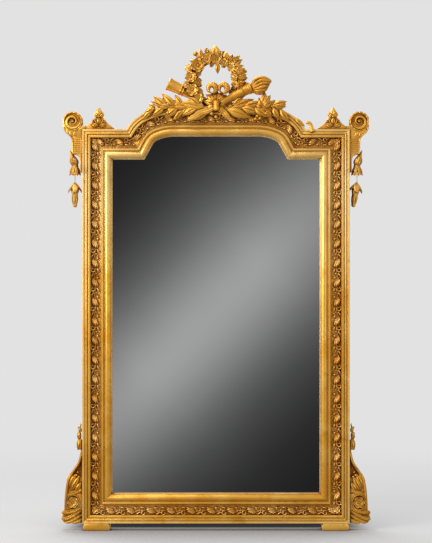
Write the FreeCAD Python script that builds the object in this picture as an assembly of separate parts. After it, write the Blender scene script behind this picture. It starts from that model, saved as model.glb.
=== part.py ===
import FreeCAD, Part
import math
import os

# Gilded pediment mirror in millimetres: +X to the viewer's right, +Y to the wall, +Z up.
# The origin is on the floor, midway across the frame and midway through its depth.

# Frame, floor to shoulder and across the stiles
FRAME_WIDTH = 988.0
SHOULDER_TOP = 1483.0
FOOT_HEIGHT = 27.0

# Moulding members from the glass outwards: width across the frame, height to the front
SIGHT_FILLET_WIDTH = 6.0
SIGHT_FILLET_HEIGHT = 10.0
TORUS_WIDTH = 20.0
TORUS_HEIGHT = 29.0
QUIRK_WIDTH = 5.5
QUIRK_HEIGHT = 22.0
INNER_FILLET_WIDTH = 9.5
INNER_FILLET_HEIGHT = 27.0
HOLLOW_WIDTH = 9.5
HOLLOW_HEIGHT = 23.0
FRIEZE_WIDTH = 31.0
FRIEZE_BED_HEIGHT = 13.0
OUTER_FILLET_WIDTH = 8.5
OUTER_FILLET_HEIGHT = 34.0
GROOVE_WIDTH = 4.0
GROOVE_HEIGHT = 30.0
BEAD_WIDTH = 6.0
BEAD_HEIGHT = 36.0
EDGE_COVE_WIDTH = 5.5
EDGE_COVE_HEIGHT = 29.5
EDGE_FILLET_WIDTH = 6.5
EDGE_FILLET_HEIGHT = 33.0

# Where the torus is highest and the hollow turns, as shares of their widths
TORUS_CROWN_AT = 0.62
HOLLOW_TURN_AT = 0.35

# Carved strip in the frieze channel
FRIEZE_CLEARANCE = 0.25
FRIEZE_EDGE_RELIEF = 4.0
FRIEZE_RELIEF = 11.0

# Length left on a run for its mitres, as a share of the moulding's width
MITRE_SPARE = 1.5

# Arch: a straight ramp, a tight knuckle, a wide haunch and a level crown
ARCH_SHARE = 0.6924
RAMP_ANGLE = 61.0
RAMP_SPARE = 0.5
KNUCKLE_RADIUS = 30.0
KNUCKLE_END_ANGLE = 26.0
HAUNCH_RADIUS = 146.0

# Chassis, mirror plate and backboards
CHASSIS_THICKNESS = 24.0
GLASS_THICKNESS = 4.0
GLASS_LAP = 10.0
GLASS_EDGE_GAP = 2.0
WEDGE_WIDTH = 12.0
WEDGE_DEPTH = 14.0
WEDGE_LENGTH = 60.0
WEDGES_PER_STILE = 4
BOARD_COUNT = 4
BOARD_THICKNESS = 7.0
BOARD_LAP = 28.0
BOARD_GAP = 1.5
BOARD_SCREW_INSET = 60.0

# Round-head wood screws
SCREW_SHANK_RADIUS = 1.8
SCREW_HEAD_RADIUS = 4.0
SCREW_HEAD_HEIGHT = 1.8
SCREW_GRIP = 14.0
SCREW_CLEARANCE = 0.05
SCREW_DOME = (0.7, 0.72)

# Feet
FOOT_WIDTH = 98.0
FOOT_INSET = 3.0
FOOT_SETBACK = 3.0
FOOT_CHAMFER = 2.5

# Palmettes on the shoulders
PALMETTE_OFFSET = 61.0
PALMETTE_HALF_WIDTH = 56.0
PALMETTE_HEIGHT = 83.0
PALMETTE_LEDGE = 8.0
PALMETTE_BUD_HALF_WIDTH = 19.0
PALMETTE_BUD_FOOT = 56.0
PALMETTE_WAIST_HALF_WIDTH = 12.0
PALMETTE_WAIST_HEIGHT = 46.0
PALMETTE_DEPTH = 24.0
PALMETTE_SETBACK = 5.0
PALMETTE_FLANK = (0.452, 0.36)
PALMETTE_BUD_BELLY = (0.62, 0.45)

# Upper consoles, measured outwards from the frame's side and up or down from the shoulder
VOLUTE_RADIUS = 38.0
VOLUTE_CLEARANCE = 1.5
VOLUTE_RISE = 26.0
VOLUTE_BOSS_RADIUS = 14.0
VOLUTE_BOSS_HEIGHT = 4.0
SHAFT_WIDTH = 38.0
SHAFT_DROP = 91.0
NECK_DROP = 38.0
PLATE_WIDTH = 9.0
PLATE_DROP = 158.0
CONSOLE_DEPTH = 40.0
CONSOLE_SETBACK = 6.0
NECK_BEND = (0.36, 0.42)

# Husk, wire and leaf drop under each upper console
DROP_OFFSET = 28.5
HUSK_RADIUS = 18.0
HUSK_HEIGHT = 43.0
CUP_NECK_RADIUS = 11.0
CUP_RADIUS = 21.0
CUP_HEIGHT = 32.0
WIRE_RADIUS = 1.2
WIRE_LENGTH = 29.0
LEAF_DROP_LENGTH = 94.0
LEAF_DROP_RADIUS = 11.0
LEAF_DROP_FLARE = 19.0
RIGHT_DROP_TILT = 8.0
HUSK_FOOT_SHARE = 0.5
HUSK_BELLY_AT = 0.55
CUP_BELLY = (0.9, 0.45)
LEAF_DROP_FOOT_SHARE = 0.35
LEAF_DROP_NECK = (0.62, 0.22)
LEAF_DROP_FLARE_AT = 0.40
LEAF_DROP_FLARE_END = 0.42
LEAF_DROP_BELLY = (0.9, 0.8)

# Lower consoles, measured outwards from the frame's side and up from the frame's foot
WING_WIDTH = 67.0
WING_HEIGHT = 272.0
WING_TOE_WIDTH = 76.0
WING_TOE_HEIGHT = 56.0
WING_LIFT = 2.0
WING_TOP_WIDTH = 11.0
WING_SHOULDER = 112.0
WING_DEPTH = 34.0
WING_SETBACK = 8.0
WING_CURVE_SHARE = 0.62
WING_UPPER_HOLLOW = 3.0
WING_LOWER_BELLY = 2.0
WING_TOE_TURN = 0.36
WING_TOE_INSET = 2.0
ROSETTE_OFFSET = 37.0
ROSETTE_RISE = 87.0
ROSETTE_RADIUS = 24.0
ROSETTE_HEIGHT = 4.0
BELLFLOWER_HEIGHT = 96.0
BELLFLOWER_RADIUS = 9.5
BELLFLOWER_CLEARANCE = 1.0
BELLFLOWER_OUTLINE = (
    (0.0, 0.0), (0.5, 0.0), ((1.0, 0.28), (0.45, 0.55)),
    ((0.75, 0.66), (0.35, 0.76)), ((0.5, 0.85), (0.0, 1.0)),
)

# Crest, measured from the frame's centre line and up from the crown's top edge
CREST_PROJECTION = 30.0
CREST_SEAT = 0.2
WREATH_RISE = 89.0
WREATH_RADIUS = 88.0
WREATH_CORE_RADIUS = 22.0
WREATH_FLOWER_RADIUS = 28.0
WREATH_FLOWERS = 14
WREATH_SETBACK = 26.0
WREATH_GAP_ANGLE = 80.0
WREATH_BUD_RADIUS = 11.0
WREATH_BUD_LENGTH = 46.0
WREATH_BUD_OFFSET = -6.0
WREATH_BUD_OUTLINE = ((0.0, 0.0), (0.6, 0.0), ((1.0, 0.5), (0.0, 1.0)))
KNOT_LEFT = -10.0
KNOT_RIGHT = 12.0
KNOT_FOOT = -18.0
KNOT_HEAD = 19.0
KNOT_ROUND = 6.0
BOW_RISE = 61.0
BOW_CENTRE = 3.0
BOW_LOOP_RADIUS = 22.5
BOW_LOOP_HOLE = 12.0
BOW_RIBBON_WIDTH = 16.0
BOW_TIE_WIDTH = 14.0
BOW_SETBACK = 4.0
BOW_LOOP_LAP = 2.0
TORCH_FOOT = (15.0, 9.0)
TORCH_CUP = (129.0, 70.0)
TORCH_FOOT_RADIUS = 11.0
TORCH_CUP_RADIUS = 18.5
TORCH_RING_HEIGHT = 8.0
TORCH_RING_STEP = 2.5
TORCH_SETBACK = 38.0
FLAME_LENGTH = 80.0
FLAME_RADIUS = 26.0
FLAME_BELLY_AT = 0.42
FLAME_NECK = (0.55, 0.82)
QUIVER_FOOT = (-14.0, 9.0)
QUIVER_MOUTH = (-177.0, 85.0)
QUIVER_FOOT_RADIUS = 11.0
QUIVER_MOUTH_RADIUS = 23.0
QUIVER_RING_AT = 56.0
QUIVER_RING_WIDTH = 7.0
QUIVER_RING_STEP = 2.0
QUIVER_MOUTH_DEPTH = 4.0
QUIVER_RIM = 4.0
QUIVER_SETBACK = 10.0
BACKING_HALF_WIDTH = 84.0
BACKING_HEIGHT = 33.0
DOWEL_RADIUS = 5.0
DOWEL_LENGTH = 40.0
DOWEL_SPACING = 110.0
DOWEL_CLEARANCE = 0.05

# Laurel leaves: foot and tip as (across, rise) from the crown's top centre, then width
LEAF_THICKNESS = 9.0
STEM_WIDTH = 10.0
LEFT_STEM = ((-8.0, -6.0), (-60.0, -8.0), (-125.0, -3.0), (-205.0, 3.0), (-224.0, -6.0))
LEFT_LEAVES = (
    ((-148.0, -2.0), (-200.0, 50.0), 18.0),
    ((-186.0, 4.0), (-229.0, 38.0), 16.0),
    ((-194.0, 4.0), (-240.0, 20.0), 15.0),
    ((-196.0, 2.0), (-235.0, -33.0), 16.0),
    ((-145.0, -5.0), (-188.0, -37.0), 17.0),
    ((-107.0, -2.0), (-149.0, 41.0), 15.0),
    ((-59.0, -7.0), (-140.0, 13.0), 26.0),
    ((-85.0, -8.0), (-115.0, -51.0), 20.0),
    ((-122.0, -6.0), (-148.0, -44.0), 14.0),
    ((-218.0, -2.0), (-266.0, -22.0), 14.0),
)
RIGHT_STEM = ((8.0, -6.0), (60.0, -8.0), (130.0, -1.0), (205.0, 6.0), (240.0, -14.0))
RIGHT_LEAVES = (
    ((210.0, 4.0), (261.0, 14.0), 23.0),
    ((146.0, 1.0), (184.0, 48.0), 18.0),
    ((151.0, 1.0), (203.0, 39.0), 18.0),
    ((155.0, 3.0), (208.0, 14.0), 18.0),
    ((214.0, 2.0), (234.0, -48.0), 14.0),
    ((150.0, -1.0), (190.0, -31.0), 18.0),
    ((81.0, -7.0), (125.0, -43.0), 22.0),
    ((50.0, -8.0), (116.0, -51.0), 18.0),
    ((240.0, -12.0), (268.0, -55.0), 16.0),
    ((194.0, 3.0), (218.0, -42.0), 14.0),
    ((85.0, -5.0), (129.0, 32.0), 14.0),
    ((118.0, -3.0), (155.0, -37.0), 14.0),
)
TAIL_THICKNESS = 6.0
TAILS = (
    ((6.0, -6.0), (52.0, -51.0), 16.0),
    ((-4.0, -6.0), (-103.0, -48.0), 18.0),
)

# Hanging straps and rings on the back
STRAP_DROP = 268.0
STRAP_OFFSET = 40.0
STRAP_WIDTH = 20.0
STRAP_LENGTH = 62.0
STRAP_THICKNESS = 2.0
STRAP_SCREWS = (18.0, 48.0)
RING_WIRE_RADIUS = 2.4
RING_HALF_WIDTH = 17.0
RING_CORNER_RADIUS = 6.0
RING_SIDE_LENGTH = 10.0
EYE_CLEARANCE = 0.05
EYE_SIDE_GAP = 0.6

# Worked out from the sizes above
MOULDING_WIDTH = sum((
    SIGHT_FILLET_WIDTH, TORUS_WIDTH, QUIRK_WIDTH, INNER_FILLET_WIDTH, HOLLOW_WIDTH, FRIEZE_WIDTH,
    OUTER_FILLET_WIDTH, GROOVE_WIDTH, BEAD_WIDTH, EDGE_COVE_WIDTH, EDGE_FILLET_WIDTH,
))
HALF_WIDTH = FRAME_WIDTH / 2
SIGHT_HALF = HALF_WIDTH - MOULDING_WIDTH
ARCH_HALF_WIDTH = ARCH_SHARE * SIGHT_HALF
SIGHT_FOOT = FOOT_HEIGHT + MOULDING_WIDTH
SHOULDER_SIGHT = SHOULDER_TOP - MOULDING_WIDTH
REBATE = GLASS_LAP + GLASS_EDGE_GAP
EYE_RADIUS = RING_WIRE_RADIUS + EYE_CLEARANCE + STRAP_THICKNESS
MOULDING_DEPTH = max(
    TORUS_HEIGHT, INNER_FILLET_HEIGHT, OUTER_FILLET_HEIGHT, BEAD_HEIGHT, EDGE_FILLET_HEIGHT
)
BACK_CLEARANCE = max(2 * EYE_RADIUS, BOARD_THICKNESS + SCREW_HEAD_HEIGHT)
OVERALL_DEPTH = CREST_PROJECTION + MOULDING_DEPTH + CHASSIS_THICKNESS + BACK_CLEARANCE
WALL = OVERALL_DEPTH / 2
CHASSIS_BACK = WALL - BACK_CLEARANCE
MOULDING_BACK = CHASSIS_BACK - CHASSIS_THICKNESS
MOULDING_FRONT = MOULDING_BACK - MOULDING_DEPTH
CREST_FRONT = MOULDING_FRONT - CREST_PROJECTION
RAMP = math.radians(RAMP_ANGLE)
KNUCKLE_END = math.radians(KNUCKLE_END_ANGLE)
RAMP_LENGTH = MOULDING_WIDTH * math.tan(RAMP / 2) + RAMP_SPARE
REACH = 2 * (FRAME_WIDTH + SHOULDER_TOP)


# Plane geometry on (across, up) pairs

def moved(point, angle, distance):
    """The point a distance away along an angle, in radians from the level."""
    return (point[0] + distance * math.cos(angle), point[1] + distance * math.sin(angle))


def outward(angle):
    """Direction that points away from the glass on a run that heads along an angle."""
    return angle + math.pi / 2


def flipped(steps):
    """The same outline on the other side of the centre line, walked the other way."""
    def across(point):
        return (-point[0], point[1])

    ends = [step if not isinstance(step[0], tuple) else step[1] for step in steps]
    result = [across(ends[-1])]
    for here, step in zip(reversed(ends[:-1]), reversed(steps[1:])):
        if isinstance(step[0], tuple):
            result.append((across(step[0]), across(here)))
        else:
            result.append(across(here))
    return result


SHOULDER_CORNER = (-ARCH_HALF_WIDTH, SHOULDER_SIGHT)
RAMP_TOP = moved(SHOULDER_CORNER, RAMP, RAMP_LENGTH)
KNUCKLE_CENTRE = moved(RAMP_TOP, outward(RAMP), -KNUCKLE_RADIUS)
HAUNCH_START = moved(KNUCKLE_CENTRE, outward(KNUCKLE_END), KNUCKLE_RADIUS)
HAUNCH_CENTRE = moved(HAUNCH_START, outward(KNUCKLE_END), -HAUNCH_RADIUS)
CROWN_START = moved(HAUNCH_CENTRE, outward(0.0), HAUNCH_RADIUS)
CROWN_TOP = CROWN_START[1] + MOULDING_WIDTH


def sight_outline(offset):
    """Closed outline that runs round the glass at an offset outside the sight line."""
    middle = (RAMP + KNUCKLE_END) / 2
    left = [
        (-SIGHT_HALF - offset, SIGHT_FOOT - offset),
        (-SIGHT_HALF - offset, SHOULDER_SIGHT + offset),
        (SHOULDER_CORNER[0] - offset * math.tan(RAMP / 2), SHOULDER_SIGHT + offset),
        moved(RAMP_TOP, outward(RAMP), offset),
        (
            moved(KNUCKLE_CENTRE, outward(middle), KNUCKLE_RADIUS + offset),
            moved(HAUNCH_START, outward(KNUCKLE_END), offset),
        ),
        (
            moved(HAUNCH_CENTRE, outward(KNUCKLE_END / 2), HAUNCH_RADIUS + offset),
            moved(CROWN_START, outward(0.0), offset),
        ),
    ]
    return left + flipped(left)


# Solids

def arc(start, middle, end):
    """Round edge through three points."""
    return Part.Arc(start, middle, end).toShape()


def sweep(start, middle, end):
    """Freely curved edge through three points, for turnings whose curves close on their axis."""
    curve = Part.BSplineCurve()
    curve.interpolate([start, middle, end])
    return curve.toShape()


def face_of(steps, place, bend=arc):
    """Face inside a closed outline: a pair is a straight step, two pairs are a bend by its middle."""
    edges = []
    first = place(*steps[0])
    here = first
    for step in steps[1:]:
        if isinstance(step[0], tuple):
            there = place(*step[1])
            edges.append(bend(here, place(*step[0]), there))
        else:
            there = place(*step)
            edges.append(Part.LineSegment(here, there).toShape())
        here = there
    if here.distanceToPoint(first) > 1e-6:
        edges.append(Part.LineSegment(here, first).toShape())
    return Part.Face(Part.Wire(edges))


def prism(steps, front, back):
    """Front-view outline made solid between two depths."""
    face = face_of(steps, lambda across, up: FreeCAD.Vector(across, front, up))
    return face.extrude(FreeCAD.Vector(0, back - front, 0))


def block(left, right, front, back, foot, head):
    """Plain block between its six sides."""
    return Part.makeBox(right - left, back - front, head - foot, FreeCAD.Vector(left, front, foot))


def grown(outline, radius, height):
    """Half outline of shares, grown to a radius and a height."""
    def place(pair):
        return (pair[0] * radius, pair[1] * height)

    return [
        (place(step[0]), place(step[1])) if isinstance(step[0], tuple) else place(step) for step in outline
    ]


def turned(steps, foot, direction):
    """Turning from a half outline of (radius, height) pairs, stood at foot along a direction."""
    face = face_of(steps, lambda radius, height: FreeCAD.Vector(radius, 0, height), sweep)
    solid = face.revolve(FreeCAD.Vector(0, 0, 0), FreeCAD.Vector(0, 0, 1), 360)
    turn = FreeCAD.Rotation(FreeCAD.Vector(0, 0, 1), direction)
    solid.Placement = FreeCAD.Placement(foot, turn)
    return solid


def mirrored(shape):
    """The same solid on the other side of the frame."""
    return shape.mirror(FreeCAD.Vector(0, 0, 0), FreeCAD.Vector(1, 0, 0))


def joined(solids):
    """One solid from pieces that touch or overlap."""
    return solids[0].fuse(solids[1:]).removeSplitter()


# Moulding

def moulding_profile():
    """Section of the frame as (outwards, forwards) steps from the sight edge."""
    torus_end = SIGHT_FILLET_WIDTH + TORUS_WIDTH
    quirk_end = torus_end + QUIRK_WIDTH
    fillet_end = quirk_end + INNER_FILLET_WIDTH
    hollow_end = fillet_end + HOLLOW_WIDTH
    bed_end = hollow_end + FRIEZE_WIDTH
    raised_end = bed_end + OUTER_FILLET_WIDTH
    groove_end = raised_end + GROOVE_WIDTH
    bead_end = groove_end + BEAD_WIDTH
    cove_end = bead_end + EDGE_COVE_WIDTH
    torus_crown = SIGHT_FILLET_WIDTH + TORUS_CROWN_AT * TORUS_WIDTH
    hollow_depth = HOLLOW_HEIGHT - FRIEZE_BED_HEIGHT
    hollow_bend = (
        fillet_end + HOLLOW_TURN_AT * HOLLOW_WIDTH, FRIEZE_BED_HEIGHT + HOLLOW_TURN_AT * hollow_depth
    )
    return [
        (0.0, 0.0),
        (0.0, SIGHT_FILLET_HEIGHT),
        (SIGHT_FILLET_WIDTH, SIGHT_FILLET_HEIGHT),
        ((torus_crown, TORUS_HEIGHT), (torus_end, QUIRK_HEIGHT)),
        (quirk_end, QUIRK_HEIGHT),
        (quirk_end, INNER_FILLET_HEIGHT),
        (fillet_end, INNER_FILLET_HEIGHT),
        (fillet_end, HOLLOW_HEIGHT),
        (hollow_bend, (hollow_end, FRIEZE_BED_HEIGHT)),
        (bed_end, FRIEZE_BED_HEIGHT),
        (bed_end, OUTER_FILLET_HEIGHT),
        (raised_end, OUTER_FILLET_HEIGHT),
        (raised_end, GROOVE_HEIGHT),
        (groove_end, GROOVE_HEIGHT),
        ((groove_end + BEAD_WIDTH / 2, BEAD_HEIGHT), (bead_end, GROOVE_HEIGHT)),
        ((bead_end + EDGE_COVE_WIDTH / 2, EDGE_COVE_HEIGHT), (cove_end, EDGE_FILLET_HEIGHT)),
        (MOULDING_WIDTH, EDGE_FILLET_HEIGHT),
        (MOULDING_WIDTH, 0.0),
    ]


def frieze_profile():
    """Section of the carved strip that lies in the frieze channel."""
    start = SIGHT_FILLET_WIDTH + TORUS_WIDTH + QUIRK_WIDTH + INNER_FILLET_WIDTH + HOLLOW_WIDTH
    inner = start + FRIEZE_CLEARANCE
    outer = start + FRIEZE_WIDTH - FRIEZE_CLEARANCE
    edge = FRIEZE_BED_HEIGHT + FRIEZE_EDGE_RELIEF
    crown = ((inner + outer) / 2, FRIEZE_BED_HEIGHT + FRIEZE_RELIEF)
    return [(inner, FRIEZE_BED_HEIGHT), (inner, edge), (crown, (outer, edge)), (outer, FRIEZE_BED_HEIGHT)]


def run_face(profile, start, angle):
    """Section face of a run that starts on the sight line and heads along an angle."""
    def place(away, forward):
        across, up = moved(start, outward(angle), away)
        return FreeCAD.Vector(across, MOULDING_BACK - forward, up)

    return face_of(profile, place)


def straight_run(profile, start, angle, length):
    """Straight length of moulding."""
    return run_face(profile, start, angle).extrude(
        FreeCAD.Vector(length * math.cos(angle), 0, length * math.sin(angle))
    )


def curved_run(profile, centre, radius, start_angle, end_angle):
    """Length of moulding that bends clockwise, seen from the front, about a centre."""
    face = run_face(profile, moved(centre, outward(start_angle), radius), start_angle)
    pivot = FreeCAD.Vector(centre[0], 0, centre[1])
    return face.revolve(pivot, FreeCAD.Vector(0, 1, 0), math.degrees(start_angle - end_angle))


def mitred(run, corner, lean, inside):
    """Run cut along the mitre line through a corner, with the side of the inside point kept."""
    side = outward(lean)
    gap = (inside[0] - corner[0]) * math.cos(side) + (inside[1] - corner[1]) * math.sin(side)
    span = math.copysign(REACH, gap)
    near = moved(corner, lean, -REACH)
    far = moved(corner, lean, REACH)
    keep = [near, far, moved(far, side, span), moved(near, side, span)]
    return run.common(prism(keep, CREST_FRONT - MOULDING_DEPTH, WALL))


def framing(profile):
    """The eight mitred lengths that carry a section round the glass, by the name of their place."""
    spare = MITRE_SPARE * MOULDING_WIDTH
    foot_corner = (-SIGHT_HALF, SIGHT_FOOT)
    head_corner = (-SIGHT_HALF, SHOULDER_SIGHT)
    middle = (0.0, (SIGHT_FOOT + SHOULDER_SIGHT) / 2)
    stile_length = SHOULDER_SIGHT - SIGHT_FOOT + 2 * spare
    stile = straight_run(profile, moved(foot_corner, math.pi / 2, -spare), math.pi / 2, stile_length)
    stile = mitred(stile, foot_corner, math.radians(225), (-SIGHT_HALF, middle[1]))
    stile = mitred(stile, head_corner, math.radians(135), (-SIGHT_HALF, middle[1]))
    rail = straight_run(profile, (SIGHT_HALF + spare, SIGHT_FOOT), math.pi, 2 * (SIGHT_HALF + spare))
    rail = mitred(rail, foot_corner, math.radians(225), (0.0, SIGHT_FOOT))
    rail = mitred(rail, (SIGHT_HALF, SIGHT_FOOT), math.radians(315), (0.0, SIGHT_FOOT))
    shoulder_length = SHOULDER_CORNER[0] - head_corner[0]
    shoulder_middle = moved(head_corner, 0.0, shoulder_length / 2)
    shoulder = straight_run(profile, moved(head_corner, 0.0, -spare), 0.0, shoulder_length + 2 * spare)
    shoulder = mitred(shoulder, head_corner, math.radians(135), shoulder_middle)
    shoulder = mitred(shoulder, SHOULDER_CORNER, outward(RAMP / 2), shoulder_middle)
    haunch = joined([
        straight_run(profile, moved(SHOULDER_CORNER, RAMP, -spare), RAMP, RAMP_LENGTH + spare),
        curved_run(profile, KNUCKLE_CENTRE, KNUCKLE_RADIUS, RAMP, KNUCKLE_END),
        curved_run(profile, HAUNCH_CENTRE, HAUNCH_RADIUS, KNUCKLE_END, 0.0),
    ])
    haunch = mitred(haunch, SHOULDER_CORNER, outward(RAMP / 2), CROWN_START)
    crown = straight_run(profile, CROWN_START, 0.0, -2 * CROWN_START[0])
    return {
        "left_stile": stile,
        "right_stile": mirrored(stile),
        "bottom_rail": rail,
        "left_shoulder": shoulder,
        "right_shoulder": mirrored(shoulder),
        "left_haunch": haunch,
        "right_haunch": mirrored(haunch),
        "crown": crown,
    }


# Plate, chassis and back

def chassis_boards():
    """Two stiles, bottom rail and shaped top rail behind the moulding."""
    ring = prism(sight_outline(MOULDING_WIDTH), MOULDING_BACK, CHASSIS_BACK)
    ring = ring.cut(prism(sight_outline(REBATE), MOULDING_BACK, CHASSIS_BACK))
    inner = SIGHT_HALF + REBATE
    middle = (SIGHT_FOOT + SHOULDER_SIGHT) / 2
    stile = ring.common(block(-HALF_WIDTH, -inner, MOULDING_BACK, CHASSIS_BACK, 0.0, CROWN_TOP))
    bottom = ring.common(block(-inner, inner, MOULDING_BACK, CHASSIS_BACK, 0.0, middle))
    top = ring.common(block(-inner, inner, MOULDING_BACK, CHASSIS_BACK, middle, CROWN_TOP))
    return {
        "chassis_left_stile": stile,
        "chassis_right_stile": mirrored(stile),
        "chassis_bottom_rail": bottom,
        "chassis_top_rail": top,
    }


def glass_wedges():
    """Glue blocks in the angle between the plate's back and the chassis stiles."""
    wall = -(SIGHT_HALF + REBATE)
    glass_back = MOULDING_BACK + GLASS_THICKNESS
    pitch = (SHOULDER_SIGHT - SIGHT_FOOT) / WEDGES_PER_STILE
    wedges = []
    for index in range(WEDGES_PER_STILE):
        foot = SIGHT_FOOT + (index + 0.5) * pitch - WEDGE_LENGTH / 2
        corners = [
            FreeCAD.Vector(wall, glass_back, foot),
            FreeCAD.Vector(wall + WEDGE_WIDTH, glass_back, foot),
            FreeCAD.Vector(wall, glass_back + WEDGE_DEPTH, foot),
        ]
        face = Part.Face(Part.makePolygon(corners + corners[:1]))
        wedge = face.extrude(FreeCAD.Vector(0, 0, WEDGE_LENGTH))
        wedges += [wedge, mirrored(wedge)]
    return wedges


def board_limits():
    """Foot and head of each backboard, from the bottom up."""
    lap = REBATE + BOARD_LAP
    foot = SIGHT_FOOT - lap
    pitch = (CROWN_START[1] + lap - foot) / BOARD_COUNT
    return [
        (foot + index * pitch, foot + (index + 1) * pitch - BOARD_GAP) for index in range(BOARD_COUNT)
    ]


def screw(place, direction):
    """Round-head screw whose head seats at a place and whose shank runs along a direction."""
    dome = (SCREW_DOME[0] * SCREW_HEAD_RADIUS, -SCREW_DOME[1] * SCREW_HEAD_HEIGHT)
    steps = [
        (0.0, -SCREW_HEAD_HEIGHT),
        (dome, (SCREW_HEAD_RADIUS, 0.0)),
        (SCREW_SHANK_RADIUS, 0.0),
        (SCREW_SHANK_RADIUS, SCREW_GRIP),
        (0.0, SCREW_GRIP + SCREW_SHANK_RADIUS),
    ]
    return turned(steps, place, direction)


def screw_hole(place, direction):
    """Hole that a screw's shank runs in."""
    length = SCREW_GRIP + SCREW_SHANK_RADIUS + SCREW_CLEARANCE
    return Part.makeCylinder(SCREW_SHANK_RADIUS + SCREW_CLEARANCE, length, place, direction)


def board_screw_places():
    """Seats of the backboard screws, two at each end of each board."""
    across = SIGHT_HALF + REBATE + BOARD_LAP / 2
    places = []
    for foot, head in board_limits():
        head = min(head, SHOULDER_SIGHT)
        for up in (foot + BOARD_SCREW_INSET, head - BOARD_SCREW_INSET):
            for side in (-1, 1):
                places.append(FreeCAD.Vector(side * across, CHASSIS_BACK + BOARD_THICKNESS, up))
    return places


def backboards():
    """Horizontal boards that close the back, shaped to the arch at the top."""
    panel = prism(sight_outline(REBATE + BOARD_LAP), CHASSIS_BACK, CHASSIS_BACK + BOARD_THICKNESS)
    boards = {}
    for index, (foot, head) in enumerate(board_limits(), start=1):
        cell = block(-HALF_WIDTH, HALF_WIDTH, CHASSIS_BACK, CHASSIS_BACK + BOARD_THICKNESS, foot, head)
        boards[f"backboard_{index}"] = panel.common(cell)
    return boards


# Feet, palmettes and side ornaments

def left_foot():
    """Block foot under the bottom corner, back to the wall."""
    outer = -HALF_WIDTH + FOOT_INSET
    inner = outer + FOOT_WIDTH
    steps = [
        (outer, FOOT_HEIGHT),
        (outer, FOOT_CHAMFER),
        (outer + FOOT_CHAMFER, 0.0),
        (inner - FOOT_CHAMFER, 0.0),
        (inner, FOOT_CHAMFER),
        (inner, FOOT_HEIGHT),
    ]
    return prism(steps, MOULDING_FRONT + FOOT_SETBACK, WALL)


def left_palmette():
    """Pointed bud over two concave flanks, standing on the shoulder's top edge."""
    centre = -HALF_WIDTH + PALMETTE_OFFSET
    flank_across = PALMETTE_FLANK[0] * (PALMETTE_HALF_WIDTH + PALMETTE_WAIST_HALF_WIDTH)
    flank_up = PALMETTE_LEDGE + PALMETTE_FLANK[1] * (PALMETTE_WAIST_HEIGHT - PALMETTE_LEDGE)
    bud_across = PALMETTE_BUD_BELLY[0] * PALMETTE_BUD_HALF_WIDTH
    bud_up = PALMETTE_BUD_FOOT + PALMETTE_BUD_BELLY[1] * (PALMETTE_HEIGHT - PALMETTE_BUD_FOOT)

    def at(across, up):
        return (centre + across, SHOULDER_TOP + up)

    steps = [
        at(-PALMETTE_HALF_WIDTH, 0.0),
        at(-PALMETTE_HALF_WIDTH, PALMETTE_LEDGE),
        (at(-flank_across, flank_up), at(-PALMETTE_WAIST_HALF_WIDTH, PALMETTE_WAIST_HEIGHT)),
        at(-PALMETTE_BUD_HALF_WIDTH, PALMETTE_BUD_FOOT),
        (at(-bud_across, bud_up), at(0.0, PALMETTE_HEIGHT)),
        (at(bud_across, bud_up), at(PALMETTE_BUD_HALF_WIDTH, PALMETTE_BUD_FOOT)),
        at(PALMETTE_WAIST_HALF_WIDTH, PALMETTE_WAIST_HEIGHT),
        (at(flank_across, flank_up), at(PALMETTE_HALF_WIDTH, PALMETTE_LEDGE)),
        at(PALMETTE_HALF_WIDTH, 0.0),
    ]
    front = MOULDING_FRONT + PALMETTE_SETBACK
    return prism(steps, front, front + PALMETTE_DEPTH)


def left_upper_console():
    """Volute over a shaft on the frame's side, with a narrow plate down beside the husk."""
    front = MOULDING_FRONT + CONSOLE_SETBACK
    back = front + CONSOLE_DEPTH
    eye = (-HALF_WIDTH - VOLUTE_CLEARANCE - VOLUTE_RADIUS, SHOULDER_TOP + VOLUTE_RISE)
    shaft_side = -HALF_WIDTH - SHAFT_WIDTH
    outer_side = eye[0] - VOLUTE_RADIUS
    neck_foot = SHOULDER_TOP - NECK_DROP
    neck_bend = (
        shaft_side + NECK_BEND[0] * (outer_side - shaft_side),
        neck_foot + NECK_BEND[1] * (eye[1] - neck_foot),
    )
    steps = [
        (-HALF_WIDTH, SHOULDER_TOP - PLATE_DROP),
        (-HALF_WIDTH, SHOULDER_TOP),
        eye,
        (outer_side, eye[1]),
        (neck_bend, (shaft_side, neck_foot)),
        (shaft_side, SHOULDER_TOP - SHAFT_DROP),
        (-HALF_WIDTH - PLATE_WIDTH, SHOULDER_TOP - SHAFT_DROP),
        (-HALF_WIDTH - PLATE_WIDTH, SHOULDER_TOP - PLATE_DROP),
    ]
    inward = FreeCAD.Vector(0, 1, 0)
    scroll = Part.makeCylinder(VOLUTE_RADIUS, CONSOLE_DEPTH, FreeCAD.Vector(eye[0], front, eye[1]), inward)
    boss_foot = FreeCAD.Vector(eye[0], front - VOLUTE_BOSS_HEIGHT, eye[1])
    boss = Part.makeCylinder(VOLUTE_BOSS_RADIUS, VOLUTE_BOSS_HEIGHT, boss_foot, inward)
    return joined([prism(steps, front, back), scroll, boss])


def drop_axis():
    """Place under the left console's shaft where the husk hangs, midway through the console."""
    depth = MOULDING_FRONT + CONSOLE_SETBACK + CONSOLE_DEPTH / 2
    return FreeCAD.Vector(-HALF_WIDTH - DROP_OFFSET, depth, SHOULDER_TOP - SHAFT_DROP)


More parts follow.
